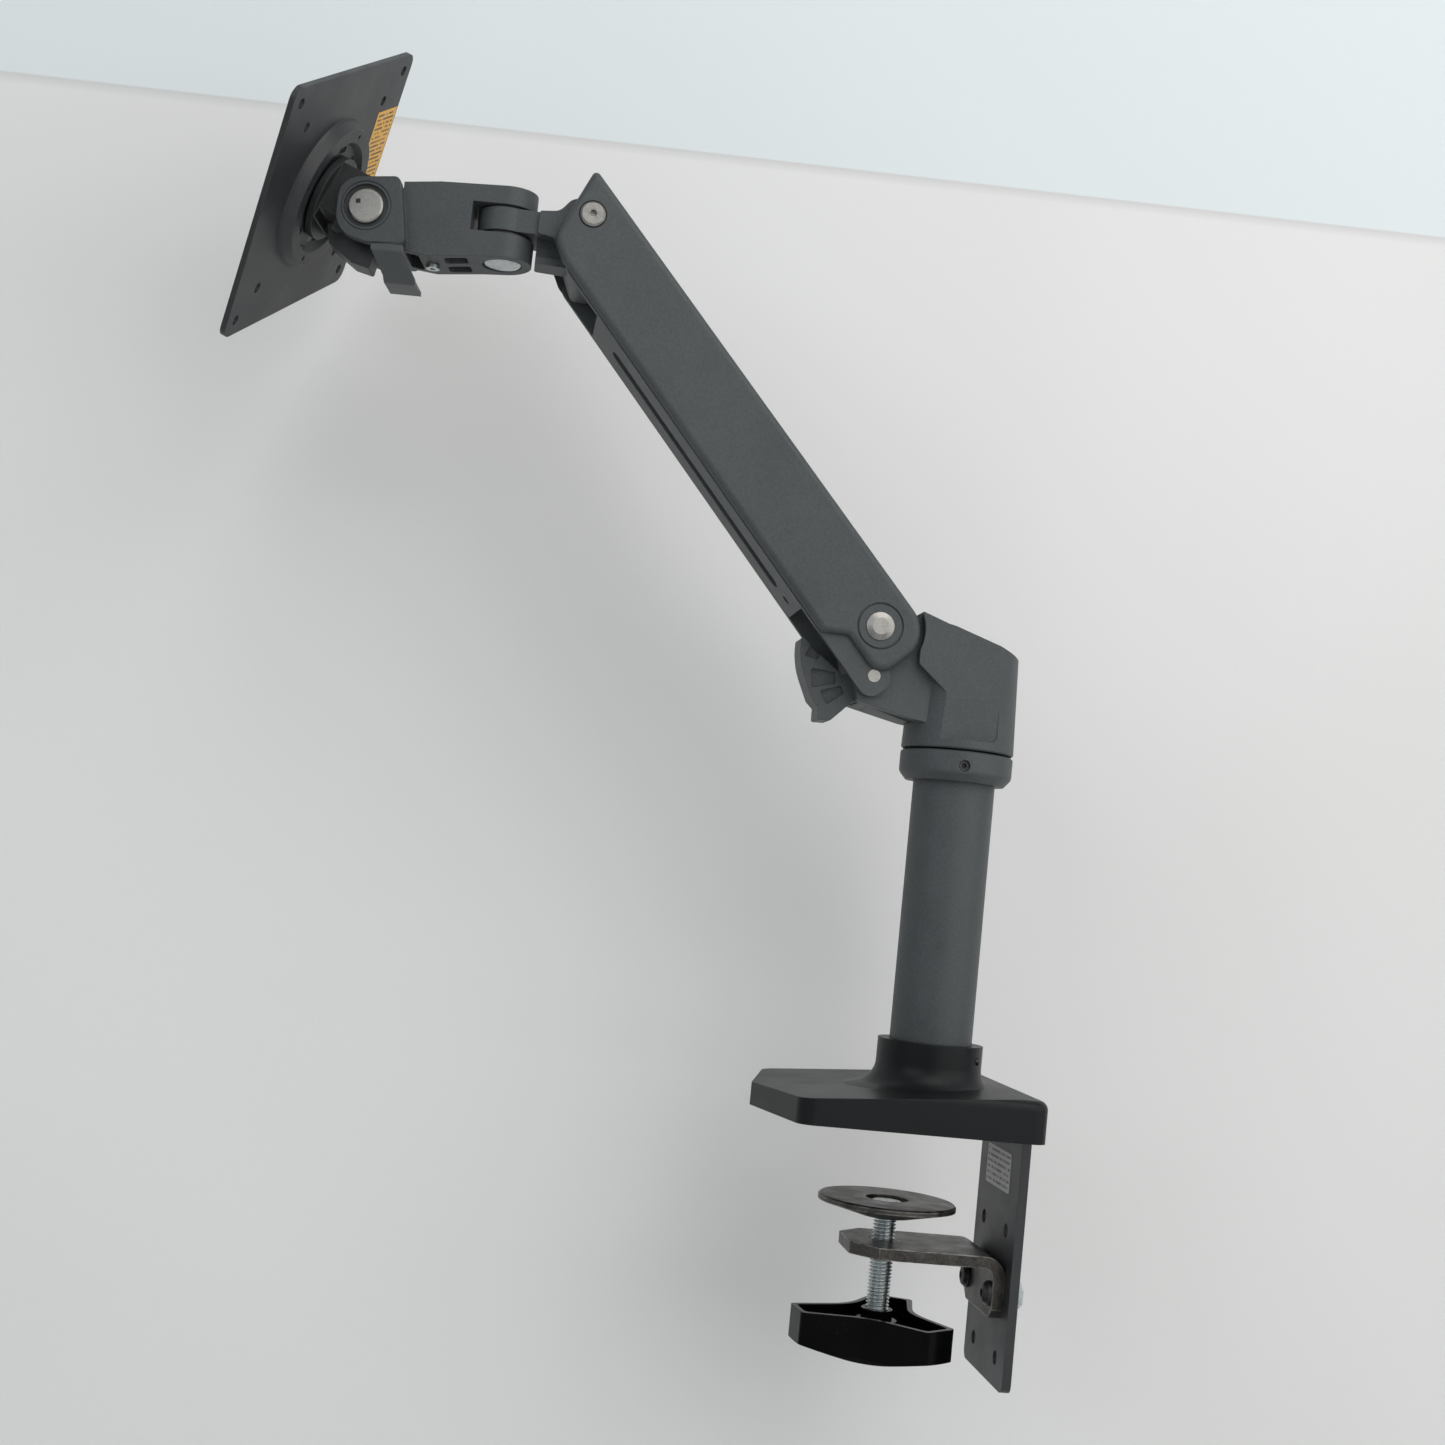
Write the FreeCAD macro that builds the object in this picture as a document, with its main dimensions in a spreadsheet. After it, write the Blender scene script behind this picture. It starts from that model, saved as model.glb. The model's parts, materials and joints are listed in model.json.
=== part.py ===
import FreeCAD, Part
import math
import os
import Sketcher

Vector = FreeCAD.Vector
Rotation = FreeCAD.Rotation
Placement = FreeCAD.Placement

# A desk-clamp monitor arm. Millimetres, +Z up. The origin is on the axis of the
# pole at the desk surface. The arm reaches towards -X and the clamp is at +X.

doc = FreeCAD.newDocument("MonitorArm")
sheet = doc.addObject("Spreadsheet::Sheet", "Sizes")

driving_sizes = {
    # fits
    "pin_fit": 0.05,
    "face_gap": 0.3,
    "seam_gap": 0.15,
    # base
    "desk_pad": 1.5,
    "base_steel": 5,
    "base_front": 64,
    "base_nose": 77,
    "base_side": 56.5,
    "base_high": 18,
    "base_front_high": 10,
    "cover_wall": 2.5,
    "neck_radius": 23,
    "neck_top": 34.5,
    "pole_radius": 18,
    "pole_wall": 3,
    "pole_top": 159.6,
    "collar_radius": 24.8,
    "collar_drop": 11.6,
    "collar_high": 13,
    # clamp
    "spine_front": 36,
    "spine_steel": 4,
    "spine_side": 32,
    "spine_drop": 106.5,
    "spine_hole_side": 18,
    "spine_hole_step": 26.6,
    "bracket_drop": 52,
    "bracket_steel": 5,
    "bracket_front": 30,
    "bracket_side": 23,
    "bracket_leg": 26,
    "clamp_bolt": 3,
    "screw_radius": 5,
    "screw_back": 12.8,
    "foot_radius": 30,
    "foot_top": 34.5,
    "foot_deep": 7.5,
    "knob_low": 103,
    "knob_high": 20,
    "knob_reach": 36.5,
    "knob_waist": 16.5,
    "knob_turn": 187,
    # hub
    "hub_radius": 24.8,
    "hub_crown_radius": 22.9,
    "hub_gap": 2.2,
    "hub_back": 42.7,
    "hub_front": 57.2,
    "hub_flat": 21,
    "tongue_half": 16,
    "tongue_radius": 13,
    "post_radius": 11,
    "bush_wall": 3,
    "guard_half": 8,
    "pivot_forward": 44.1,
    "pivot_rise": 48.9,
    "pivot_apart": 21.3,
    "axle_radius": 4,
    "cap_radius": 6.1,
    "pin_radius": 2.8,
    # arm
    "arm_length": 215.8,
    "arm_lift": 48.9,
    "arm_half": 23,
    "arm_wall": 3.2,
    "arm_top": 17,
    "arm_tip_top": 13.2,
    "arm_bottom": 22.3,
    "arm_end": 17.8,
    "spring_radius": 6.3,
    "spring_wire": 1.6,
    "spring_high": 1.5,
    "link_wall": 2.6,
    "link_ear": 7.6,
    # wrist
    "wrist_half": 13.7,
    "wrist_reach": 36.6,
    "wrist_pan": -7.5,
    "pan_pin_radius": 5,
    "tongue_low": -8.6,
    "tongue_high": 1.5,
    # head
    "knuckle_half": 13,
    "knuckle_back": 12.8,
    "head_top": 11,
    "head_bottom": 20.2,
    "cheek_half": 20,
    "cheek_wall": 5,
    "tilt_forward": 58,
    "tilt_drop": 6.5,
    "tilt_rest": 22.7,
    "tilt_radius": 12.3,
    "tilt_axle_radius": 4,
    # plate
    "plate_roll": 34,
    "plate_back": 26.7,
    "plate_steel": 2.5,
    "plate_side": 115,
    "plate_corner": 5.5,
    "vesa_large": 100,
    "vesa_small": 75,
    "vesa_hole": 2.4,
    "dish_radius": 35,
    "dish_deep": 2.4,
    "dish_ring": 5,
    "swivel_radius": 4,
}

for row, (name, value) in enumerate(driving_sizes.items(), start=1):
    sheet.set(f"A{row}", name)
    sheet.set(f"B{row}", str(value))
    sheet.setAlias(f"B{row}", name)
doc.recompute()


# A size knows its number and the sheet expression that gives it, so geometry is
# drawn with the number and stays bound to the sheet through the expression.
class Size:
    def __init__(self, value, text):
        self.value = value
        self.text = text

    def __add__(self, other):
        other = as_size(other)
        return Size(self.value + other.value, f"({self.text} + {other.text})")

    def __sub__(self, other):
        other = as_size(other)
        return Size(self.value - other.value, f"({self.text} - {other.text})")

    def __mul__(self, other):
        other = as_size(other)
        return Size(self.value * other.value, f"({self.text} * {other.text})")

    def __truediv__(self, other):
        other = as_size(other)
        return Size(self.value / other.value, f"({self.text} / {other.text})")

    def __radd__(self, other):
        return as_size(other) + self

    def __rsub__(self, other):
        return as_size(other) - self

    def __rmul__(self, other):
        return as_size(other) * self

    def __neg__(self):
        return Size(-self.value, f"(0 - {self.text})")


def as_size(item):
    if isinstance(item, Size):
        return item
    return Size(float(item), f"({float(item)})")


def cosine(angle):
    return Size(math.cos(math.radians(angle.value)), f"cos({angle.text})")


def sine(angle):
    return Size(math.sin(math.radians(angle.value)), f"sin({angle.text})")


class SizeBook:
    pass


size = SizeBook()
for name, value in driving_sizes.items():
    setattr(size, name, Size(float(sheet.get(name)), f"Sizes.{name}"))

# heights that follow the pole's length
size.collar_low = size.pole_top - size.collar_drop
size.hub_low = size.pole_top + size.hub_gap
size.hub_back_high = size.hub_low + size.hub_back
size.hub_front_high = size.hub_low + size.hub_front
size.pivot_high = size.hub_low + size.pivot_rise


# ---- drawing helpers -------------------------------------------------------

def bind(item, path, amount):
    item.setExpression(path, as_size(amount).text)


def start_body(label, placement=None):
    body = doc.addObject("PartDesign::Body", label)
    body.Label = label
    if placement is not None:
        body.Placement = placement
    return body


def start_sketch(body, plane, offset):
    sketch = body.newObject("Sketcher::SketchObject", f"{body.Label}_sketch")
    for feature in body.Origin.OriginFeatures:
        if feature.Role == f"{plane}_Plane":
            sketch.AttachmentSupport = [(feature, "")]
    sketch.MapMode = "FlatFace"
    bind(sketch, "AttachmentOffset.Base.z", offset)
    return sketch


def hold_point(sketch, geometry, position, point):
    x, y = as_size(point[0]), as_size(point[1])
    first, second = sketch.addConstraint([
        Sketcher.Constraint("DistanceX", -1, 1, geometry, position, x.value),
        Sketcher.Constraint("DistanceY", -1, 1, geometry, position, y.value),
    ])
    bind(sketch, f"Constraints[{first}]", x)
    bind(sketch, f"Constraints[{second}]", y)


def add_circle(sketch, center, radius):
    x, y, radius = as_size(center[0]), as_size(center[1]), as_size(radius)
    circle = Part.Circle(Vector(x.value, y.value, 0), Vector(0, 0, 1), radius.value)
    geometry = sketch.addGeometry(circle)
    hold_point(sketch, geometry, 3, center)
    index = sketch.addConstraint(Sketcher.Constraint("Radius", geometry, radius.value))
    bind(sketch, f"Constraints[{index}]", radius)


# Where a round of this radius touches the two sides of a corner, and its center.
def round_points(before, corner, after, radius):
    to_before = (before - corner).normalize()
    to_after = (after - corner).normalize()
    half_angle = to_before.getAngle(to_after) / 2
    reach = radius / math.tan(half_angle)
    middle = (to_before + to_after).normalize()
    center = corner + middle * (radius / math.sin(half_angle))
    return corner + to_before * reach, center, corner + to_after * reach


# An arc always runs counter-clockwise, so a clockwise round starts at its end.
def add_round(sketch, entry, center, leaving):
    turns_left = (entry - center).cross(leaving - center).z > 0
    start, finish = (entry, leaving) if turns_left else (leaving, entry)
    circle = Part.Circle(center, Vector(0, 0, 1), center.distanceToPoint(entry))
    first_angle = math.atan2(start.y - center.y, start.x - center.x)
    last_angle = math.atan2(finish.y - center.y, finish.x - center.x)
    if last_angle < first_angle:
        last_angle += 2 * math.pi
    arc = sketch.addGeometry(Part.ArcOfCircle(circle, first_angle, last_angle))
    return (arc, 1, 2) if turns_left else (arc, 2, 1)


# A closed outline. Each corner is (x, y) or (x, y, radius of its round).
def add_loop(sketch, corners):
    count = len(corners)
    points = [Vector(as_size(c[0]).value, as_size(c[1]).value, 0) for c in corners]
    rounds = {}
    for index, corner in enumerate(corners):
        if len(corner) == 3:
            radius = as_size(corner[2]).value
            rounds[index] = round_points(points[index - 1], points[index],
                                         points[(index + 1) % count], radius)
    lines = []
    for index in range(count):
        following = (index + 1) % count
        start = rounds[index][2] if index in rounds else points[index]
        finish = rounds[following][0] if following in rounds else points[following]
        lines.append(sketch.addGeometry(Part.LineSegment(start, finish)))
    for index, corner in enumerate(corners):
        before, after = lines[index - 1], lines[index]
        if index not in rounds:
            sketch.addConstraint(Sketcher.Constraint("Coincident", before, 2, after, 1))
            hold_point(sketch, after, 1, corner)
            continue
        arc, arc_in, arc_out = add_round(sketch, *rounds[index])
        tip = sketch.addGeometry(Part.Point(points[index]), True)
        constraints = sketch.addConstraint([
            Sketcher.Constraint("Tangent", before, 2, arc, arc_in),
            Sketcher.Constraint("Tangent", arc, arc_out, after, 1),
            Sketcher.Constraint("PointOnObject", tip, 1, before),
            Sketcher.Constraint("PointOnObject", tip, 1, after),
            Sketcher.Constraint("Radius", arc, as_size(corner[2]).value),
        ])
        bind(sketch, f"Constraints[{constraints[-1]}]", corner[2])
        hold_point(sketch, tip, 1, corner)


# Draws loops (lists of corners) and circles (center, radius) on a plane and pads
# or pockets them between two heights along the plane's axis.
def extrude(kind, body, plane, shapes, low, high):
    low, high = as_size(low), as_size(high)
    start = -high if plane == "XZ" else low
    sketch = start_sketch(body, plane, start)
    for shape in shapes:
        if isinstance(shape, tuple):
            add_circle(sketch, shape[0], shape[1])
        else:
            add_loop(sketch, shape)
    feature = body.newObject(f"PartDesign::{kind}", f"{body.Label}_{kind}")
    feature.Profile = sketch
    bind(feature, "Length", high - low)
    feature.Reversed = kind == "Pocket"
    body.Tip = feature
    return feature


def pad(body, plane, shapes, low, high):
    return extrude("Pad", body, plane, shapes, low, high)


def pocket(body, plane, shapes, low, high):
    return extrude("Pocket", body, plane, shapes, low, high)


# Turns loops about an axis of the plane. Offset axes are reached by placing the
# loops' points from that axis, and the body by its own Placement.
def turn(kind, body, plane, loops, axis="V_Axis"):
    sketch = start_sketch(body, plane, 0)
    for loop in loops:
        add_loop(sketch, loop)
    feature = body.newObject(f"PartDesign::{kind}", f"{body.Label}_{kind}")
    feature.Profile = sketch
    feature.ReferenceAxis = (sketch, [axis])
    feature.Angle = 360
    body.Tip = feature
    return feature


def edges_where(shape, test):
    return [f"Edge{index}" for index, edge in enumerate(shape.Edges, start=1) if test(edge)]


def flat_at(axis, height):
    height = as_size(height).value

    def test(edge):
        box = edge.BoundBox
        low, high = getattr(box, f"{axis}Min"), getattr(box, f"{axis}Max")
        return abs(low - height) < 1e-3 and abs(high - height) < 1e-3
    return test


def dress(kind, body, amount, test):
    doc.recompute()
    base = body.Tip
    edges = edges_where(base.Shape, test)
    feature = body.newObject(f"PartDesign::{kind}", f"{body.Label}_{kind}")
    feature.Base = (base, edges)
    path = "Radius" if kind == "Fillet" else "Size"
    bind(feature, path, amount)
    body.Tip = feature
    return feature


def repeat_round(body, feature, axis_role, count):
    pattern = body.newObject("PartDesign::PolarPattern", f"{body.Label}_pattern")
    pattern.Originals = [feature]
    for origin_feature in body.Origin.OriginFeatures:
        if origin_feature.Role == axis_role:
            pattern.Axis = (origin_feature, [""])
    pattern.Angle = 360
    pattern.Occurrences = count
    body.Tip = pattern
    return pattern


def ring_points(radius, count, first_angle=0):
    spots = []
    for index in range(count):
        angle = math.radians(first_angle + 360 * index / count)
        spots.append((radius * math.cos(angle), radius * math.sin(angle)))
    return spots


# A turned piece on its own axis: steps are (radius, height) pairs from one end to
# the other, and the piece stands from the first height to the last.
def turned(label, placement, steps, bore=0):
    body = start_body(label, placement)
    loop = [(bore, steps[0][1])] + list(steps) + [(bore, steps[-1][1])]
    turn("Revolution", body, "XZ", [loop])
    return body


# Identical turned pieces share one node: the first is the body's own, the others
# stand beside it, and a compound of all of them takes the label.
def group_turned(label, placements, steps, bore=0, socket=None):
    copies = []
    for index, placement in enumerate(placements):
        body = turned(f"{label}_{index + 1}", placement, steps, bore)
        if socket is not None:
            radius, depth = socket
            top = as_size(steps[-1][1])
            pocket(body, "XY", [hexagon(radius)], top - depth, top)
        copies.append(body)
    group = doc.addObject("Part::Compound", label)
    group.Label = label
    group.Links = copies
    return group


def hexagon(radius):
    radius = as_size(radius)
    return [(radius * math.cos(math.radians(60 * k)), radius * math.sin(math.radians(60 * k)))
            for k in range(6)]


def rectangle(left, low, right, high, radius=None):
    corners = [(left, low), (right, low), (right, high), (left, high)]
    if radius is None:
        return corners
    return [(x, y, radius) for x, y in corners]


# ---- frames of the moving groups -------------------------------------------

to_sky = Rotation(Vector(0, 0, 1), 0)
facing = Rotation(Vector(0, 0, 1), 180)


def at(x, y, z, rotation=to_sky):
    spot = Vector(as_size(x).value, as_size(y).value, as_size(z).value)
    return Placement(spot, rotation)


def turn_by(axis, angle):
    return Placement(Vector(0, 0, 0), Rotation(axis, as_size(angle).value))


base_frame = at(0, 0, 0)
# Arm and forward groups: x points forward along the piece, y to the near side.
arm_frame = at(-size.pivot_forward, 0, size.pivot_high, facing) * turn_by(Vector(0, 1, 0), -size.arm_lift)
link_frame = (at(-size.pivot_forward, 0, size.pivot_high - size.pivot_apart, facing)
              * turn_by(Vector(0, 1, 0), -size.arm_lift))
wrist_x = -size.pivot_forward - size.arm_length * cosine(size.arm_lift)
wrist_z = size.pivot_high + size.arm_length * sine(size.arm_lift)
wrist_frame = at(wrist_x, 0, wrist_z, facing)
head_frame = wrist_frame * at(size.wrist_reach, 0, 0) * turn_by(Vector(0, 0, 1), size.wrist_pan)
tilt_axis = head_frame * at(size.tilt_forward, 0, -size.tilt_drop)
tilt_frame = tilt_axis * turn_by(Vector(0, 1, 0), -size.tilt_rest)
plate_frame = tilt_frame * turn_by(Vector(1, 0, 0), -size.plate_roll)


# ---- base ------------------------------------------------------------------

def make_base_pad():
    body = start_body("base_pad")
    outline = rectangle(4 - size.base_front, 5 - size.base_side,
                        size.spine_front - size.face_gap, size.base_side - 5, 6)
    pad(body, "XY", [outline], 0, size.desk_pad)


def plate_top():
    return size.desk_pad + size.base_steel


def make_base_plate():
    body = start_body("base_plate")
    inside = size.base_side - size.cover_wall - 4
    outline = rectangle(6 - size.base_front, -inside, size.spine_front, inside, 4)
    pad(body, "XY", [outline], size.desk_pad, plate_top())
    # upturned flange that the spine screws hold
    flange = rectangle(size.spine_front - size.base_steel, -size.spine_side,
                       size.spine_front, size.spine_side)
    pad(body, "XY", [flange], plate_top(), size.base_high - size.cover_wall - 2)
    pocket(body, "XY", [((0, 0), 4.2)], size.desk_pad, plate_top())
    pocket(body, "XY", [((0, 0), 7.5)], size.desk_pad, size.desk_pad + 2.6)
    holes = [((side * size.spine_hole_side, spine_screw_high()), size.clamp_bolt - 0.5 + size.pin_fit)
             for side in (-1, 1)]
    pocket(body, "YZ", holes, size.spine_front - size.base_steel, size.spine_front)


def spine_screw_high():
    return plate_top() + 2.9


# One half of the cover: a crowned shell with a flared neck round the pole.
def make_cover(label, side):
    body = start_body(label)
    rear = size.spine_front + size.spine_steel
    outline = [(-size.base_nose, 0), (-size.base_front, -size.base_side, 7),
               (rear, -size.base_side, 7), (rear, size.base_side, 7),
               (-size.base_front, size.base_side, 7)]
    pad(body, "XY", [outline], 0.4, size.base_high)
    dress("Fillet", body, 4, flat_at("Z", size.base_high))
    # the top falls towards the front
    rise = (size.base_high - size.base_front_high) / (size.base_nose + rear)
    fall = [(-size.base_nose - 1, size.base_front_high), (rear - 12, size.base_high),
            (rear - 12, size.base_high + 2), (-size.base_nose - 1, size.base_high + 2)]
    pocket(body, "XZ", [fall], -size.base_side - 1, size.base_side + 1)
    inner = size.pole_radius + size.face_gap
    flare = size.base_high - 1
    foot = size.neck_radius + 13.5
    lip = [(inner, flare - 5), (foot, flare - 5), (foot, flare - 3.8), (size.neck_radius, flare, 10),
           (size.neck_radius, size.neck_top), (inner, size.neck_top)]
    turn("Revolution", body, "XZ", [lip])
    wall = size.cover_wall
    deep = size.base_front_high - wall
    hollow = [(wall - size.base_nose + 2, 0), (wall - size.base_front, wall - size.base_side, 5),
              (rear - wall, wall - size.base_side, 5), (rear - wall, size.base_side - wall, 5),
              (wall - size.base_front, size.base_side - wall, 5)]
    pocket(body, "XY", [hollow], 0.4, deep)
    front = wall - size.base_front + 6
    roof = size.base_high - wall
    wedge = [(front, deep - 0.5), (rear - wall, deep - 0.5), (rear - wall, roof), (rear - 12, roof),
             (front, deep + rise * 20)]
    pocket(body, "XZ", [wedge], wall + 5 - size.base_side, size.base_side - wall - 5)
    pocket(body, "XY", [((0, 0), inner)], 0.4, size.neck_top)
    # the back plate passes down behind the cover's rear wall
    slot = rectangle(size.spine_front - size.face_gap, -size.spine_side - size.face_gap,
                     rear + 1, size.spine_side + size.face_gap)
    pocket(body, "XY", [slot], 0.4, size.base_high - wall)
    far = size.base_side + 5
    keep = size.seam_gap / 2
    if side > 0:
        pocket(body, "XY", [rectangle(-size.base_nose - 1, -far, rear + 1, keep)], 0, size.neck_top + 1)
    else:
        pocket(body, "XY", [rectangle(-size.base_nose - 1, -keep, rear + 1, far)], 0, size.neck_top + 1)
    return body


def make_covers():
    for label, side in (("cover_near", -1), ("cover_far", 1)):
        body = make_cover(label, side)
        # screw hole through the neck
        pocket(body, "YZ", [((side * 14, size.neck_top - 6), 1.5 + size.pin_fit)], 8, size.neck_radius + 1)


def make_cover_screws():
    spots = [at(size.neck_radius - 8, side * 14, size.neck_top - 6, Rotation(Vector(0, 1, 0), 90))
             for side in (-1, 1)]
    group_turned("cover_screws", spots, [(1.5, 0), (1.5, 3.4)], 0, (0.8, 1.2))


def make_pole():
    bore = size.pole_radius - size.pole_wall
    tube = [(size.pole_radius, plate_top()), (size.pole_radius, size.pole_top)]
    turned("pole_tube", base_frame, tube, bore)
    # the plug fills the foot of the tube and is drawn down by the bolt
    foot = turned("pole_foot", base_frame, [(bore, plate_top()), (bore, plate_top() + 22),
                                            (bore - 3, plate_top() + 25)], 0)
    pocket(foot, "XY", [((0, 0), 4)], plate_top(), plate_top() + 18)
    bolt = turned("pole_bolt", base_frame, [(7, size.desk_pad + 0.2), (7, size.desk_pad + 2.6),
                                            (4, size.desk_pad + 2.6), (4, plate_top() + 16)])
    pocket(bolt, "XY", [hexagon(2.9)], size.desk_pad + 0.2, size.desk_pad + 1.9)
    # turned post: a plug in the tube, a shoulder on its rim and a spigot for the hub
    turned("pole_insert", base_frame, [
        (bore, size.pole_top - 45), (bore, size.pole_top), (size.pole_radius, size.pole_top),
        (size.pole_radius, size.pole_top + 1.2), (size.post_radius, size.pole_top + 1.2),
        (size.post_radius, post_top())], 3)


def post_top():
    return size.pole_top + 38


def make_collar():
    bore = size.pole_radius + size.pin_fit
    low = size.collar_low
    top = low + size.collar_high
    body = start_body("collar")
    loop = [(bore, low), (size.collar_radius - 3, low), (size.collar_radius, low + 3.6, 3),
            (size.collar_radius, top - 0.8), (size.collar_radius - 0.8, top), (bore, top)]
    turn("Revolution", body, "XZ", [loop])
    pocket(body, "XZ", [((-2, low + size.collar_high / 2), 2.5 + size.pin_fit)],
           -size.collar_radius - 1, 0)
    spot = at(-2, -size.pole_radius - 0.4, low + size.collar_high / 2, Rotation(Vector(1, 0, 0), 90))
    screw = turned("collar_set_screw", spot, [(2.5, 0), (2.5, 5)])
    pocket(screw, "XY", [hexagon(1.4)], 3, 5)


# ---- clamp -----------------------------------------------------------------

def bracket_bolt_high():
    return -size.bracket_drop - size.bracket_leg + 10


def make_clamp_spine():
    body = start_body("clamp_spine")
    top = size.base_high - size.cover_wall - 2
    outline = [(-size.spine_side, -size.spine_drop, 4), (size.spine_side, -size.spine_drop, 4),
               (size.spine_side, top), (-size.spine_side, top)]
    pad(body, "YZ", [outline], size.spine_front, size.spine_front + size.spine_steel)
    holes = []
    for side in (-1, 1):
        for step in (-1, 0, 1):
            height = bracket_bolt_high() + size.spine_hole_step * step
            holes.append(((side * size.spine_hole_side, height), size.clamp_bolt + size.pin_fit))
        spot = (side * size.spine_hole_side, spine_screw_high())
        holes.append((spot, size.clamp_bolt - 0.5 + size.pin_fit))
    pocket(body, "YZ", holes, size.spine_front, size.spine_front + size.spine_steel)
    # shallow groove down the middle of the rear face
    groove = rectangle(-4, -size.spine_drop - 1, 4, top + 1)
    rear = size.spine_front + size.spine_steel
    pocket(body, "YZ", [groove], rear - 0.8, rear)


def make_spine_screws():
    rear = size.spine_front + size.spine_steel
    back = Rotation(Vector(0, 1, 0), 90)
    shank = size.clamp_bolt - 0.5
    spots = [at(rear, side * size.spine_hole_side, spine_screw_high(), back) for side in (-1, 1)]
    reach = size.spine_steel + size.base_steel - 0.5
    group_turned("spine_screws", spots, [(shank, -reach), (shank, 0), (shank * 1.8, 0), (shank * 1.8, 1.2),
                                         (shank, 2.2)], 0, (1.3, 1.2))


def make_spec_label():
    body = start_body("spec_label")
    outline = rectangle(-18, -26, 20, -9, 1.5)
    pad(body, "YZ", [outline], size.spine_front - 0.2, size.spine_front)


def make_clamp_bracket():
    body = start_body("clamp_bracket")
    top = -size.bracket_drop
    steel = size.bracket_steel
    side = size.bracket_side
    section = [(-size.bracket_front, top), (size.spine_front, top, 9),
               (size.spine_front, top - size.bracket_leg),
               (size.spine_front - steel, top - size.bracket_leg),
               (size.spine_front - steel, top - steel, 4),
               (-size.bracket_front, top - steel)]
    pad(body, "XZ", [section], -side, side)

    def front_corner(edge):
        box = edge.BoundBox
        return box.XMax + size.bracket_front.value < 1e-3 and box.YLength < 1e-3
    dress("Chamfer", body, 11, front_corner)

    def leg_corner(edge):
        box = edge.BoundBox
        low = (top - size.bracket_leg).value
        return abs(box.ZMax - low) < 1e-3 and box.YLength < 1e-3
    dress("Chamfer", body, 4, leg_corner)
    pocket(body, "XY", [((-size.screw_back, 0), 7 + size.pin_fit)], top - steel, top)
    holes = [((way * size.spine_hole_side, bracket_bolt_high()), size.clamp_bolt + size.pin_fit)
             for way in (-1, 1)]
    pocket(body, "YZ", holes, size.spine_front - steel, size.spine_front)


def make_bracket_bolts():
    forward = Rotation(Vector(0, 1, 0), -90)
    face = size.spine_front - size.bracket_steel
    shank = size.clamp_bolt
    head = shank * 1.75
    reach = size.bracket_steel + size.spine_steel + 5.2
    spots = [at(face, way * size.spine_hole_side, bracket_bolt_high(), forward) for way in (-1, 1)]
    group_turned("bracket_bolts", spots, [(shank, -reach), (shank, 0), (head, 0), (head, 1.2),
                                          (head * 0.75, 2.8), (shank * 0.8, 3.3)], 0, (2, 2))


def make_bracket_nuts():
    back = Rotation(Vector(0, 1, 0), 90)
    rear = size.spine_front + size.spine_steel
    bore = size.clamp_bolt + size.pin_fit
    nuts = []
    for index, way in enumerate((-1, 1)):
        spot = at(rear, way * size.spine_hole_side, bracket_bolt_high(), back)
        body = start_body(f"bracket_nut_{index + 1}", spot)
        pad(body, "XY", [hexagon(size.clamp_bolt * 1.9), ((0, 0), bore)], 0, 4.6)
        nuts.append(body)
    group = doc.addObject("Part::Compound", "bracket_nuts")
    group.Label = "bracket_nuts"
    group.Links = nuts


def screw_spot():
    return at(-size.screw_back, 0, 0)


def make_clamp_nut():
    top = -size.bracket_drop
    low = top - size.bracket_steel
    turned("clamp_nut", screw_spot(), [(6.6, low + 0.1), (7, low + 0.5), (7, top - 0.3), (6.7, top)],
           size.screw_radius + size.pin_fit)


def make_foot():
    top = -size.foot_top
    low = top - size.foot_deep
    body = start_body("foot_disc", screw_spot())
    loop = [(5.5, low), (11, low, 2), (size.foot_radius, top - 2.5), (size.foot_radius, top - 0.8),
            (size.foot_radius - 0.8, top), (11, top), (5.5, top)]
    turn("Revolution", body, "XZ", [loop])
    # hollow under the rivet head
    turn("Groove", body, "XZ", [[(0, top - 3), (9.5, top - 3), (9.5, top + 1), (0, top + 1)]])
    turned("foot_rivet", screw_spot(), [(2.9, low - 4), (2.9, low - 0.4), (5.45, low - 0.4),
                                        (5.45, top - 3), (8.6, top - 3), (8.6, top - 2), (6, top - 0.9)])


def make_clamp_screw():
    low = -size.knob_low + 6
    top = -size.foot_top - size.foot_deep - 0.7
    body = turned("clamp_screw", screw_spot(), [(size.screw_radius - 0.6, low),
                                                (size.screw_radius, low + 0.6),
                                                (size.screw_radius, top - 3), (size.screw_radius - 1, top)])
    pocket(body, "XY", [((0, 0), 2.95)], top - 4.2, top)


# Outline of the three-armed knob, drawn in by an amount for its hollow.
def knob_outline(inset):
    reach = size.knob_reach - inset
    half = 9 - inset
    waist = size.knob_waist - inset
    corners = []
    for arm in range(3):
        angle = math.radians(120 * arm)
        valley = angle + math.radians(60)
        for side in (-1, 1):
            x = reach * math.cos(angle) - side * half * math.sin(angle)
            y = reach * math.sin(angle) + side * half * math.cos(angle)
            corners.append((x, y, 2.4))
        corners.append((waist * math.cos(valley), waist * math.sin(valley), 26))
    return corners


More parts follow.
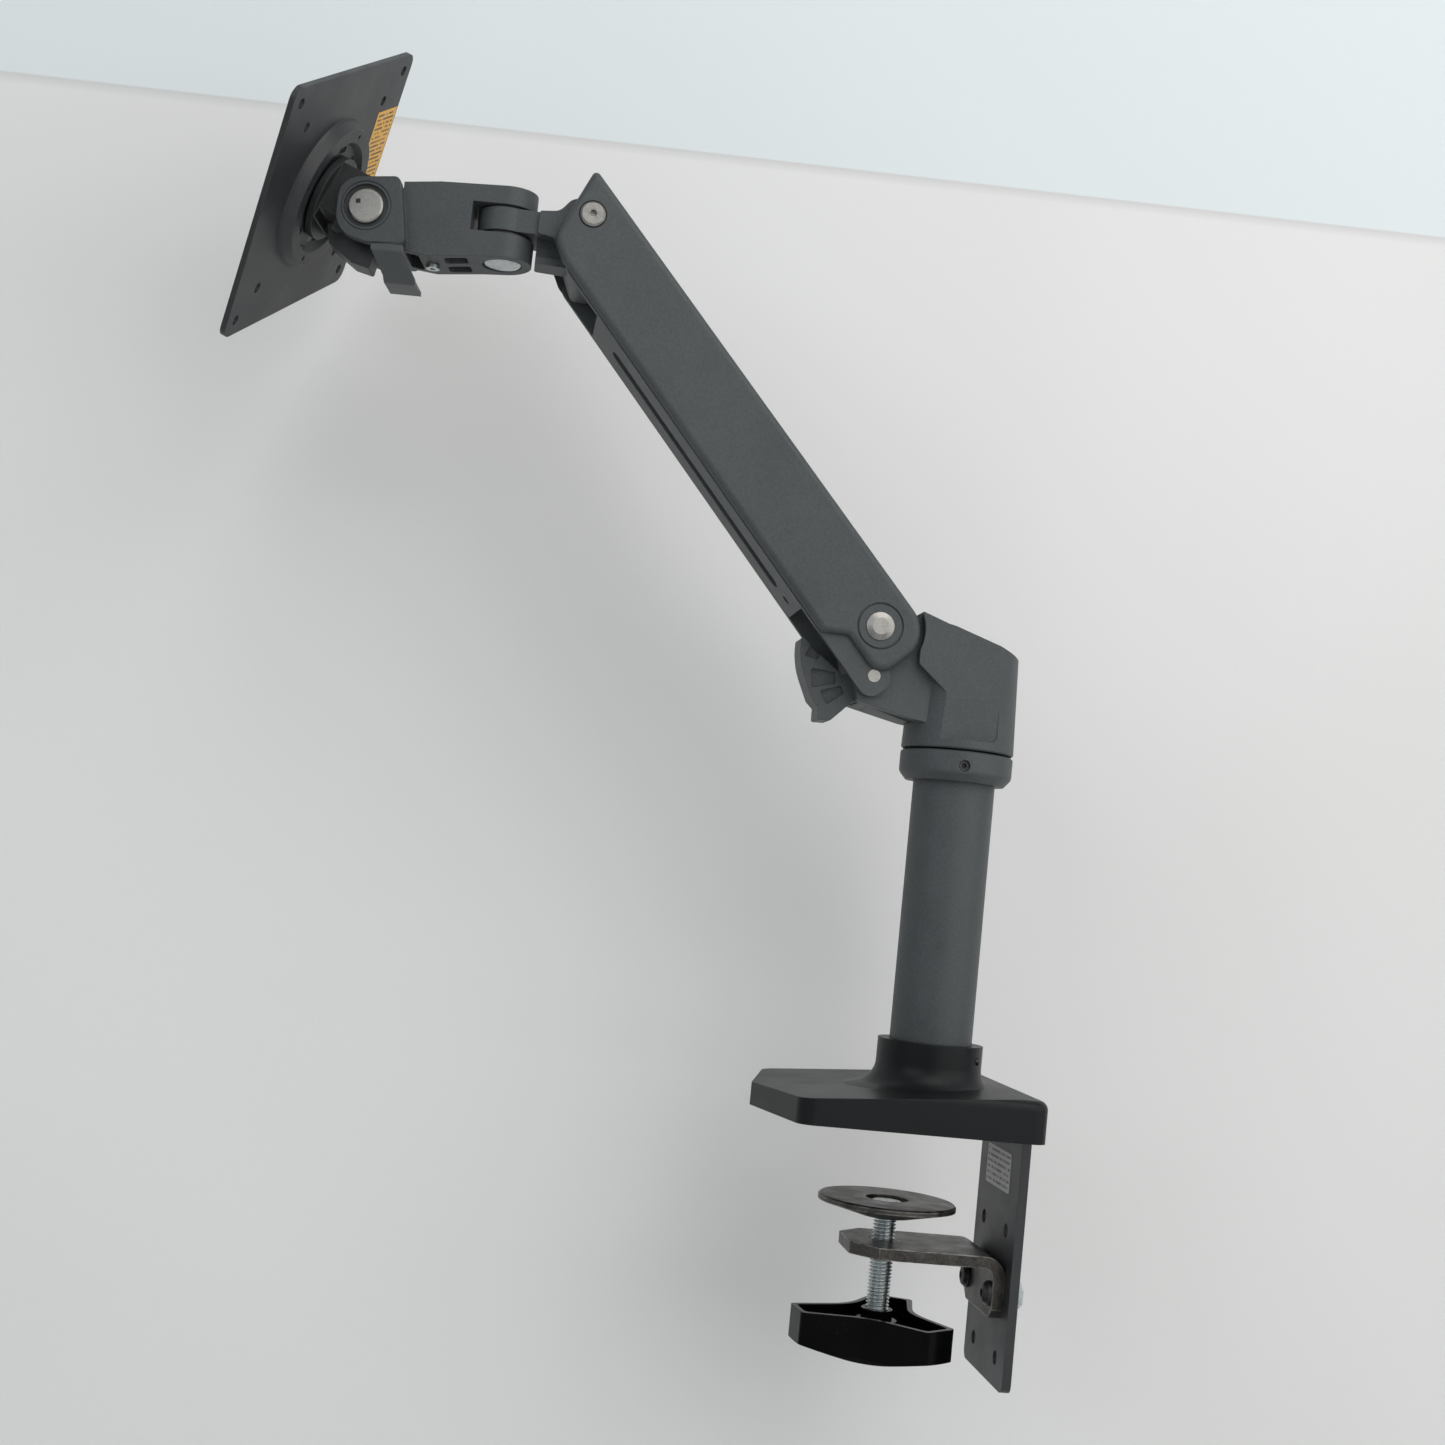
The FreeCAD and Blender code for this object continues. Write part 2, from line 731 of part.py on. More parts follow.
def make_clamp_knob():
    spot = screw_spot() * turn_by(Vector(0, 0, 1), size.knob_turn)
    low = -size.knob_low
    top = low + size.knob_high
    body = start_body("clamp_knob", spot)
    pad(body, "XY", [knob_outline(0)], low, top)
    dress("Fillet", body, 3, flat_at("Z", low))
    # bowl-shaped underside
    rim = size.knob_reach + 6
    bowl = [(0, low - 1), (rim, low - 1), (rim, low + 8), (14, low + 0.02, 50), (0, low + 0.02)]
    turn("Groove", body, "XZ", [bowl])
    floor = low + 8.5
    pocket(body, "XY", [knob_outline(2.2)], floor, top)
    pad(body, "XY", [((0, 0), 9)], floor - 1, top - 3)
    pad(body, "XY", [((0, 0), 6.8)], top - 3, top + 1.5)
    rib = pad(body, "XY", [rectangle(8, -0.8, size.knob_reach - 2, 0.8)], floor - 0.5, top - 6)
    repeat_round(body, rib, "Z_Axis", 3)
    pocket(body, "XY", [((0, 0), size.screw_radius)], low + 6, top + 1.5)


# ---- hub -------------------------------------------------------------------

def lower_pivot_high():
    return size.pivot_high - size.pivot_apart


def make_hub_casting():
    body = start_body("hub_casting")
    radius = size.hub_radius
    low = size.hub_low
    turn("Revolution", body, "XZ", [[(0, low), (radius - 0.6, low), (radius, low + 0.6),
                                     (size.hub_crown_radius, size.hub_front_high + 4),
                                     (0, size.hub_front_high + 4)]])
    # sloping top
    slope = (size.hub_front_high - size.hub_back_high) / 44
    cut = [(-radius - 2, size.hub_front_high + slope * 4), (radius + 2, size.hub_back_high - slope * 4),
           (radius + 2, size.hub_front_high + 6), (-radius - 2, size.hub_front_high + 6)]
    pocket(body, "XZ", [cut], -radius - 1, radius + 1)
    # flat facets on both sides above the turned foot
    for way in (-1, 1):
        near, far = size.hub_flat * way, (radius + 1) * way
        first, last = (near, far) if way > 0 else (far, near)
        facet = rectangle(-radius - 1, low + 4, 12, size.hub_front_high + 8, 3)
        pocket(body, "XZ", [facet], first, last)
    # shoulder in front of the post, as wide as the facets
    forward = -size.pivot_forward
    shoulder = [(0, low + 9), (-12, low + 9), (-12, low + 24, 4), (forward + 19, low + 35, 2),
                (forward + 19, size.hub_front_high + 0.6), (0, size.hub_front_high - slope * 23 - 0.4)]
    pad(body, "XZ", [shoulder], -size.hub_flat, size.hub_flat)
    # tongue that carries both pivots
    axis_low = lower_pivot_high()
    reach = size.tongue_radius
    tongue = [(-12, low + 9.6), (forward + 19, low + 11.2), (forward - size.link_ear + 2, low + 16.5, 4),
              (forward - size.link_ear - 1, axis_low, 5), (forward - reach, size.pivot_high - 4, 5),
              (forward - reach, size.pivot_high + reach, 12.5), (-12, size.pivot_high + 2.6)]
    pad(body, "XZ", [tongue], -size.tongue_half, size.tongue_half)
    # round gap that clears the arm's cheeks on both sides of the tongue
    sweep = size.arm_end + 2.7
    for way in (-1, 1):
        near, far = size.tongue_half * way, (radius + 1) * way
        first, last = (near, far) if way > 0 else (far, near)
        pocket(body, "XZ", [((forward, size.pivot_high), sweep)], first, last)
    pocket(body, "XZ", [((forward, size.pivot_high), size.axle_radius + size.pin_fit)],
           -size.tongue_half - 1, size.tongue_half + 1)
    pocket(body, "XZ", [((forward, axis_low), size.pin_radius + size.pin_fit)],
           -size.tongue_half - 1, size.tongue_half + 1)
    # slot for the finger guard, and the bore for the bushes
    pocket(body, "XZ", [guard_outline(size.face_gap)], -size.guard_half - size.face_gap,
           size.guard_half + size.face_gap)
    bore = size.post_radius + size.bush_wall
    pocket(body, "XY", [((0, 0), bore)], low, post_top() + 3)
    return body


# Side outline of the finger guard, grown by a gap for the slot that holds it.
def guard_outline(gap):
    forward = -size.pivot_forward
    low = lower_pivot_high()
    return [(forward + 19 + gap, low - 17.4 - gap), (forward - 5.7 + gap, low - 10.5 - gap, 3),
            (forward - 15.4, low - 20.4 - gap, 1), (forward - 21.2 - gap, low - 20.6 - gap, 1),
            (forward - 21.3 - gap, low - 14.8, 1), (forward - 24.3 - gap, low - 12.1, 1.5),
            (forward - 31.7 - gap, low + 4.3, 36), (forward - 31.5 - gap, low + 15.8 + gap, 1),
            (forward - 24, low + 9 + gap, 3), (forward - 12, low + 0.3 + gap, 3),
            (forward + 19 + gap, low + 0.3 + gap)]


def make_hub_fittings():
    low = size.hub_low
    post = size.post_radius + size.pin_fit
    outer = size.post_radius + size.bush_wall
    bushes = []
    for index, height in enumerate((low + 1, post_top() - 15)):
        body = turned(f"hub_bush_{index + 1}", base_frame, [(outer, height), (outer, height + 12)], post)
        bushes.append(body)
    group = doc.addObject("Part::Compound", "hub_bushes")
    group.Label = "hub_bushes"
    group.Links = bushes
    turned("slip_washer", base_frame, [(size.pole_radius, size.pole_top + 1.25), (size.pole_radius, low)],
           post)


def make_fan_guard():
    body = start_body("fan_guard")
    half = size.guard_half
    pad(body, "XZ", [guard_outline(0)], -half, half)
    # three shallow radial pockets on the near face: middle angle, half angle, radii
    forward = -size.pivot_forward
    low = lower_pivot_high()
    for angle, spread, inner, outer in ((159, 8, 24, 30), (186, 9.5, 15, 26), (209, 8.5, 13, 22.5)):
        near = math.radians(angle - spread)
        far = math.radians(angle + spread)
        corners = []
        for radius, turn_angle in ((inner, near), (outer, near), (outer, far), (inner, far)):
            x = forward + radius * math.cos(turn_angle)
            corners.append((x, low + radius * math.sin(turn_angle), 0.8))
        pocket(body, "XZ", [corners], -half, 2 - half)
    # bores that clear the lower pivot pin
    pocket(body, "XZ", [((forward, low), size.pin_radius + 0.5)], -half - 1, half + 1)
    return body


def make_pivot_fittings():
    # Turned pieces across the arm: their own axis lies along y.
    across = Rotation(Vector(1, 0, 0), 90)
    half = size.arm_half - size.arm_wall
    turned("pivot_axle", at(-size.pivot_forward, 0, size.pivot_high, across),
           [(size.axle_radius, -half + 0.3), (size.axle_radius, half - 0.3)])
    washers = []
    for index, way in enumerate((-1, 1)):
        spot = at(-size.pivot_forward, 0, size.pivot_high, across)
        inner, outer = size.tongue_half + size.face_gap, half - size.face_gap
        rim = size.axle_radius + 3.4
        steps = [(rim, inner), (rim, outer)]
        if way < 0:
            steps = [(rim, -outer), (rim, -inner)]
        washers.append(turned(f"friction_washer_{index + 1}", spot, steps, size.axle_radius + size.pin_fit))
    group = doc.addObject("Part::Compound", "friction_washers")
    group.Label = "friction_washers"
    group.Links = washers


# ---- arm -------------------------------------------------------------------

def make_upper_link():
    body = start_body("upper_link", arm_frame)
    length = size.arm_length
    half = size.arm_half
    inner = half - size.arm_wall
    end = size.arm_end
    top = size.arm_top
    tip_top = size.arm_tip_top
    outline = [(-end, -size.pivot_apart + 7.9, 8), (-end, top, 15), (length + 16.2, tip_top, 2),
               (length + 6.5, -8.2), (length + 1.4, -19.4, 7), (length - 9, -size.arm_bottom, 4),
               (12.6, -size.arm_bottom, 2), (4.6, -size.pivot_apart + 7.9, 2)]
    pad(body, "XZ", [outline], -half, half)

    def long_top(edge):
        box = edge.BoundBox
        return box.XLength > 100 and box.ZMin > tip_top.value - 1
    dress("Fillet", body, 3, long_top)
    roof = arm_roof()
    cavity = rectangle(21, -size.arm_bottom - 2, length - 9, roof, 2)
    pocket(body, "XZ", [cavity], -inner, inner)
    for first, last in ((-end - 2, 24), (length - 12, length + 25)):
        pocket(body, "XZ", [rectangle(first, -size.arm_bottom - 2, last, top + 5)], -inner, inner)
    # bosses round the wrist pivot
    boss = size.wrist_half + size.face_gap
    for low, high in ((-inner - 0.5, -boss), (boss, inner + 0.5)):
        pad(body, "XZ", [((length, 0), 9.5)], low, high)
    pocket(body, "XZ", [((length, 0), size.axle_radius + size.pin_fit)], -half - 1, half + 1)
    # counterbores for the wrist screws, and round seats for the pivot caps
    for low, high in ((-half - 1, 1.2 - half), (half - 1.2, half + 1)):
        pocket(body, "XZ", [((length, 0), 6)], low, high)
    pocket(body, "XZ", [((0, 0), size.cap_radius - 2)], -half - 1, half + 1)
    # ring groove round each pivot cap
    ring = size.cap_radius + 4.2
    for low, high in ((-half - 1, 0.8 - half), (half - 0.8, half + 1)):
        pocket(body, "XZ", [((0, 0), ring), ((0, 0), ring - 0.9)], low, high)
    return body


def arm_roof():
    return size.arm_tip_top - size.arm_wall


def make_arm_fittings():
    half = size.arm_half
    across = Placement(Vector(0, 0, 0), Rotation(Vector(1, 0, 0), 90))
    steps = [(size.cap_radius - 2, size.arm_half - size.arm_wall), (size.cap_radius - 2, half),
             (size.cap_radius, half), (size.cap_radius, half + 0.5), (size.cap_radius * 0.6, half + 1.4)]
    spots = [arm_frame * across, arm_frame * turn_by(Vector(0, 0, 1), 180) * across]
    group_turned("pivot_caps", spots, steps)
    # spring, its seat and its adjuster lie along the arm
    along = arm_frame * at(0, 0, size.spring_high) * turn_by(Vector(0, 1, 0), 90)
    inner = half - size.arm_wall
    seat = start_body("spring_stop", arm_frame)
    roof = arm_roof()
    pad(seat, "YZ", [rectangle(-inner, -5, inner, roof, 1)], 50, 54)
    pocket(seat, "YZ", [((0, size.spring_high), 3 + size.pin_fit)], 50, 54)
    turned("spring_rod", along, [(3, 38), (3, 158)])
    block = start_body("spring_block", arm_frame)
    pad(block, "YZ", [rectangle(-12, -4.5, 12, roof - 0.3, 2)], 152, 162)
    pocket(block, "YZ", [((0, size.spring_high), 3 + size.pin_fit)], 152, 162)
    screw = turned("adjuster_screw", along, [(3, 163), (3, 190), (5, 190), (5, 196)])
    pocket(screw, "XY", [hexagon(2.6)], 192.5, 196)
    helix = doc.addObject("Part::Helix", "spring_path")
    bind(helix, "Radius", size.spring_radius)
    helix.Pitch = 6.5
    helix.Height = 91
    section = doc.addObject("Part::Circle", "spring_section")
    bind(section, "Radius", size.spring_wire)
    bind(section, "Placement.Base.x", size.spring_radius)
    section.Placement.Rotation = Rotation(Vector(1, 0, 0), 90)
    doc.recompute()
    spring = doc.addObject("Part::Sweep", "lift_spring")
    spring.Label = "lift_spring"
    spring.Sections = [section]
    spring.Spine = (helix, ["Edge1"])
    spring.Solid = True
    spring.Frenet = True
    spring.Placement = along * at(0, 0, 57)


def make_lower_link():
    body = start_body("lower_link", link_frame)
    length = size.arm_length
    ear = size.link_ear
    inner = size.tongue_half + size.face_gap + 0.5
    outer = inner + size.link_wall
    outline = [(-ear, -ear - 1.2, 6), (-ear, ear, 7), (10, ear - 2.4, 8), (length - 10, ear - 2.4, 8),
               (length + ear, ear, 7), (length + ear, -ear - 1.2, 6)]
    pad(body, "XZ", [outline], -outer, outer)
    floor = -ear - 1.2 + size.link_wall
    pocket(body, "XZ", [rectangle(-ear - 1, floor, length + ear + 1, ear + 1)], -inner, inner)
    ends = [rectangle(-ear - 1, -inner, 42, inner), rectangle(length - 20, -inner, length + ear + 1, inner)]
    pocket(body, "XY", ends, -ear - 3, ear + 1)
    pocket(body, "XY", [rectangle(56, -4, length - 34, 4, 3.8)], -ear - 3, floor + 0.5)
    pocket(body, "XY", [((49, 0), 2.2)], -ear - 3, floor + 0.5)
    holes = [((0, 0), size.pin_radius + size.pin_fit), ((length, 0), size.pin_radius + 0.25)]
    pocket(body, "XZ", holes, -outer - 1, outer + 1)
    across = Rotation(Vector(1, 0, 0), 90)
    pin = size.pin_radius
    turned("lower_pivot_pin", at(-size.pivot_forward, 0, lower_pivot_high(), across),
           [(pin, -outer - 0.2), (pin, outer + 0.2)])


# ---- wrist -----------------------------------------------------------------

def make_wrist_bracket():
    body = start_body("wrist_bracket", wrist_frame)
    half = size.wrist_half
    drop = size.pivot_apart
    low, high = size.tongue_low, size.tongue_high
    front = size.wrist_reach - 14.1
    # side plates round both pivots, bounded in front by an arch under the neck
    plate = [(-9, -drop - 1, 6), (-9, 9, 8), (9, 9, 6), (14, high + 1, 6), (front, high, 1),
             (front, low, 1), (13, low - 1, 8), (5, -drop - 7.5, 4), (-5, -drop - 7.5, 4)]
    pad(body, "XZ", [plate], -half, half)
    # thinner web and foot flange in front of the arch
    web = [(0, low), (front, low), (front, 1.6 - drop, 1.5), (8, 1.2 - drop, 1), (0, -drop)]
    pad(body, "XZ", [web], -4, 4)
    flange = [(0, 4.4 - drop), (front, 4.6 - drop), (front, 1.6 - drop, 1), (8, 1.2 - drop, 1),
              (0, 1.2 - drop)]
    pad(body, "XZ", [flange], -6.5, 6.5)
    tongue = size.knuckle_half - 0.6
    pad(body, "XY", [rectangle(front - 6, -tongue + 0.8, size.wrist_reach, tongue - 0.8)], low, high)
    pad(body, "XY", [((size.wrist_reach, 0), tongue)], low, high)
    pocket(body, "XY", [((size.wrist_reach, 0), size.pan_pin_radius + size.pin_fit)], low - 1, high + 1)
    # threaded bores for the wrist screws and the bore of the lower pin
    pocket(body, "XZ", [((0, 0), size.axle_radius - 1)], -half - 1, half + 1)
    pocket(body, "XZ", [((0, -drop), size.pin_radius)], -half - 1, half + 1)


def make_wrist_fittings():
    half = size.arm_half
    across = Placement(Vector(0, 0, 0), Rotation(Vector(1, 0, 0), 90))
    shank = size.axle_radius
    boss = size.wrist_half
    steps = [(shank - 1, boss - 8), (shank - 1, boss), (shank, boss + 0.05), (shank, half - 1.15),
             (5.5, half - 1.15), (5.5, half + 0.4), (4.6, half + 1.2)]
    spots = [wrist_frame * across, wrist_frame * turn_by(Vector(0, 0, 1), 180) * across]
    group_turned("wrist_screws", spots, steps, 0, (1.7, 2))
    outer = size.tongue_half + size.face_gap + 0.5 + size.link_wall
    turned("wrist_pin", wrist_frame * at(0, 0, -size.pivot_apart) * across,
           [(size.pin_radius, -outer - 0.1), (size.pin_radius, outer + 0.1)])


# ---- head ------------------------------------------------------------------

def make_head_arm():
    body = start_body("head_arm", head_frame)
    half = size.knuckle_half
    back = size.knuckle_back
    top, low = size.head_top, -size.head_bottom
    axis_x, axis_z = size.tilt_forward, -size.tilt_drop
    side = [(-back, low), (-back, top), (28, top - 1.3), (axis_x - 12, top - 3.2), (axis_x - 12, low - 1.6),
            (30, low - 3.4, 3), (10, low - 1.4)]
    pad(body, "XZ", [side], -half, half)

    def knuckle_corner(edge):
        box = edge.BoundBox
        return abs(box.XMax + back.value) < 1e-3 and box.ZLength > 5
    dress("Fillet", body, half - 0.4, knuckle_corner)
    ring = size.tilt_radius
    cheek = [(axis_x - 18.5, low - 0.8, 2), (axis_x - 13.5, top - 3.2, 3),
             (axis_x + 2, axis_z + ring + 0.4, 6),
             (axis_x + ring, axis_z + ring - 1, 9), (axis_x + ring, axis_z - ring, 11),
             (axis_x - 2, low - 1.9, 3)]
    wide = size.cheek_half
    pad(body, "XZ", [cheek], -wide, wide)
    gap = wide - size.cheek_wall
    pocket(body, "XZ", [rectangle(axis_x - 14, low - 8, axis_x + ring + 5, top + 3)], -gap, gap)
    # knuckle slot for the wrist tongue, open to the rear
    slot_low, slot_high = size.tongue_low - 1.6, size.tongue_high + 1.1
    pocket(body, "XZ", [rectangle(-back - 1, slot_low, 13.6, slot_high)], -half - 1, half + 1)
    # underside: seat of the pan pin, screw hole and pockets between ribs
    pocket(body, "XY", [((0, 0), size.pan_pin_radius)], low - 2, top - 3)
    pocket(body, "XY", [((0, 0), 8.7)], low - 6, low + 2)
    pocket(body, "XY", [((30, 0), 1.6)], low - 6, low + 4)
    pockets = [rectangle(14, -10, 24, -2, 1.5), rectangle(14, 2, 24, 10, 1.5),
               rectangle(35, -10, 41, 10, 1.5)]
    pocket(body, "XY", pockets, low - 6, low + 3)
    # tilt bore, cap seats and the thin ring groove round each cap
    pocket(body, "XZ", [((axis_x, axis_z), size.tilt_axle_radius + size.pin_fit)], -wide - 1, wide + 1)
    for way in (-1, 1):
        near, far = (wide - 0.8) * way, (wide + 1) * way
        first, last = (near, far) if way > 0 else (far, near)
        pocket(body, "XZ", [((axis_x, axis_z), 7.6 + size.pin_fit)], first, last)
        recess = (wide - 1.8) * way
        first, last = (recess, far) if way > 0 else (far, recess)
        pocket(body, "XZ", [((axis_x, axis_z), 9.6), ((axis_x, axis_z), 7.6 + size.pin_fit)], first, last)
        shallow = (wide - 0.4) * way
        first, last = (shallow, far) if way > 0 else (far, shallow)
        pocket(body, "XZ", [((axis_x, axis_z), 11), ((axis_x, axis_z), 10.4)], first, last)
    return body


def make_head_fittings():
    slot_low, slot_high = size.tongue_low - 1.6, size.tongue_high + 1.1
    low = -size.head_bottom
    pin = size.pan_pin_radius
    turned("pan_pin", head_frame, [(7.6, low - 0.6), (8.4, low + 0.2), (8.4, low + 2), (pin, low + 2),
                                   (pin, size.head_top - 3.2)])
    washers = []
    for index, height in enumerate((slot_low + 0.1, size.tongue_high + 0.1)):
        thick = (size.tongue_low - slot_low if index == 0 else slot_high - size.tongue_high) - 0.2
        body = turned(f"pan_washer_{index + 1}", head_frame, [(11, height), (11, height + thick)],
                      pin + size.pin_fit)
        washers.append(body)
    group = doc.addObject("Part::Compound", "pan_washers")
    group.Label = "pan_washers"
    group.Links = washers
    screw = turned("head_screw", head_frame * at(30, 0, 0), [(3, low - 5.2), (3, low - 3.5),
                                                             (1.6, low - 3.5),
                                                             (1.6, low + 4)])
    pocket(screw, "XY", [hexagon(1.4)], low - 5.2, low - 4)
    across = Placement(Vector(0, 0, 0), Rotation(Vector(1, 0, 0), 90))
    axis = at(size.tilt_forward, 0, -size.tilt_drop)
    wide = size.cheek_half
    axle = size.tilt_axle_radius
    turned("tilt_axle", head_frame * axis * across, [(axle, -wide + 0.9), (axle, wide - 0.9)])
    spots = [head_frame * axis * across, head_frame * axis * turn_by(Vector(0, 0, 1), 180) * across]
    group_turned("tilt_caps", spots, [(7.6, wide - 0.8), (7.6, wide + 0.3), (6.9, wide + 0.9)])


# Strap that hangs from the near cheek and hooks under the head to hold a cable.
def make_cable_clip():
    body = start_body("cable_clip", head_frame)
    low = -size.head_bottom - 2
    near = size.cheek_half - 0.6
    front = size.tilt_forward - 4
    hook = [(near, low), (near, low - 3, 2), (near - 7.5, low - 14.5, 3), (-5, low - 14.5),
            (-5, low - 12.6),
            (near - 8.8, low - 12.6, 2), (near - 1.9, low - 3.4, 1), (near - 1.9, low)]
    pad(body, "YZ", [hook], front - 20, front)
    # the strap leans back as it goes down
    ahead = [(front + 1, low - 0.5), (front + 1, low - 16), (front - 6, low - 16), (front - 5.4, low - 12)]
    behind = [(front - 21, low + 1), (front - 13.4, low + 1), (front - 14.6, low - 4),
              (front - 19.2, low - 12),
              (front - 19.4, low - 16), (front - 21, low - 16)]
    pocket(body, "XZ", [ahead, behind], -6, near + 1)


# ---- tilt block and plate --------------------------------------------------

def make_tilt_block():
    body = start_body("tilt_block", tilt_frame)
    half = size.cheek_half - size.cheek_wall - 1.3
    pad(body, "XZ", [((0, 0), 9.5)], -half, half)
    flange_back = size.plate_back - size.dish_deep - 4.2
    pad(body, "YZ", [((0, 0), 19)], flange_back, flange_back + 3)
    neck = [(-2, 9.2), (6, 14, 2), (flange_back + 1, 14), (flange_back + 1, -13), (8, -15, 2), (-2, -9.2)]
    pad(body, "XZ", [neck], -half + 0.6, half - 0.6)
    # hollow under the neck, and a lever on the far half that bears on the tilt stop
    pocket(body, "XZ", [rectangle(11, -16, flange_back - 0.5, -8.5, 1)], -6, half + 1)
    lever = [(-7, -4), (-10, -16.5, 1), (-11, -21.3, 1), (-3, -22.5, 2), (10, -19.5, 2), (15, -12, 1)]
    pad(body, "XZ", [lever], -4, 8)
    axle = size.tilt_axle_radius + size.pin_fit
    pocket(body, "XZ", [((0, 0), axle)], -half - 1, half + 1)
    pocket(body, "YZ", [((0, 0), size.swivel_radius)], 6, flange_back + 5)
    washers = []
    gap = size.cheek_half - size.cheek_wall
    across = Placement(Vector(0, 0, 0), Rotation(Vector(1, 0, 0), 90))
    for index, way in enumerate((-1, 1)):
        steps = [(9, half + 0.05), (9, gap - 0.1)]
        if way < 0:
            steps = [(9, 0.1 - gap), (9, -half - 0.05)]
        washers.append(turned(f"tilt_washer_{index + 1}", tilt_frame * across, steps, axle))
    group = doc.addObject("Part::Compound", "tilt_washers")
    group.Label = "tilt_washers"
    group.Links = washers


def corner_spots(side):
    half = side / 2
    return [(half, half), (-half, half), (-half, -half), (half, -half)]


def make_vesa_plate():
    body = start_body("vesa_plate", plate_frame)
    half = size.plate_side / 2
    back = size.plate_back
    steel = size.plate_steel
    pad(body, "YZ", [rectangle(-half, -half, half, half, size.plate_corner)], back, back + steel)
    dish = size.dish_radius
    pocket(body, "YZ", [((0, 0), dish - 1)], back, back + steel)
    deep = size.dish_deep
    ring = size.dish_ring
    bore = size.swivel_radius + size.pin_fit
    # pressed ring that stands towards the arm, round a shallower middle
    profile = [(back, dish), (back + steel, dish), (back + steel - ring, dish - 3.4),
               (back + steel - ring, dish - 7),
               (back + steel - deep, dish - 9), (back + steel - deep, bore), (back - deep, bore),
               (back - deep, dish - 11), (back - ring, dish - 9), (back - ring, dish - 3),
               (back - 1.4, dish - 0.6)]
    turn("Revolution", body, "XZ", [profile], "H_Axis")
    holes = [(spot, size.vesa_hole) for spot in corner_spots(size.vesa_large) + corner_spots(size.vesa_small)]
    pocket(body, "YZ", holes, back - 1, back + steel + 1)
    # arc slots as rows of round-ended windows in the dish
    window = pocket(body, "YZ", [rectangle(-6, 19.8, 6, 22.6, 1.3)], back - deep - 1, back + steel + 1)
    repeat_round(body, window, "X_Axis", 6)
    small_holes = [(spot, 1.1) for spot in ring_points(dish.value - 6, 4, 20)]
    pocket(body, "YZ", small_holes, back - ring - 1, back + steel + 1)


def make_plate_fittings():
    out = plate_frame * turn_by(Vector(0, 1, 0), 90)
    back, steel, deep = size.plate_back, size.plate_steel, size.dish_deep
    bore = size.swivel_radius + size.pin_fit
    turned("swivel_washer", out, [(13, back - deep - 1.15), (13, back - deep - 0.05)], bore)
    face = back + steel - deep
    turned("swivel_retainer", out, [(12, face + 0.05), (12, face + 1)], bore)
    bolt = turned("swivel_bolt", tilt_frame * turn_by(Vector(0, 1, 0), 90), [
        (size.swivel_radius, 8), (size.swivel_radius, face + 1.05), (7, face + 1.05),
        (7, back + steel - 0.2)])
    pocket(bolt, "XY", [hexagon(2.4)], back + steel - 1.2, back + steel - 0.2)
    label = start_body("plate_label", plate_frame)
    half = size.plate_side / 2
    pad(label, "YZ", [rectangle(1 - half, -14, 21 - half, 32)], back - 0.15, back)


# ---- build, check and write ------------------------------------------------

make_base_pad()
make_base_plate()
make_covers()
make_cover_screws()
make_pole()
make_collar()
make_clamp_spine()
make_spine_screws()
make_spec_label()
make_clamp_bracket()
make_bracket_bolts()
make_bracket_nuts()
make_clamp_nut()
make_foot()
make_clamp_screw()
make_clamp_knob()
make_hub_casting()
make_hub_fittings()
make_fan_guard()
make_pivot_fittings()
make_upper_link()
make_arm_fittings()
make_lower_link()
make_wrist_bracket()
make_wrist_fittings()
make_head_arm()
make_head_fittings()
make_cable_clip()
make_tilt_block()
make_vesa_plate()
make_plate_fittings()
doc.recompute()

for item in doc.Objects:
    if "Invalid" in item.State or "Error" in item.State:
        raise RuntimeError(f"{item.Label} failed: {item.State}")
    if item.TypeId in ("PartDesign::Pocket", "PartDesign::Groove"):
        if item.Shape.Volume > item.BaseFeature.Shape.Volume - 1e-3:
            raise RuntimeError(f"{item.Label} cuts nothing")

grouped = {link.Name for item in doc.Objects if item.TypeId == "Part::Compound" for link in item.Links}
os.makedirs("parts", exist_ok=True)
for item in doc.Objects:
    is_part = item.TypeId in ("PartDesign::Body", "Part::Compound", "Part::Sweep")
    if not is_part or item.Name in grouped:
        continue
    if item.Shape.isNull() or not item.Shape.isValid():
        raise RuntimeError(f"{item.Label} has no valid shape")
    item.Shape.exportStep(f"parts/{item.Label}.step")
    print(item.Label, len(item.Shape.Solids), round(item.Shape.Volume, 1))
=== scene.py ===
import json
import math

import bmesh
import bpy
from mathutils import Matrix, Vector


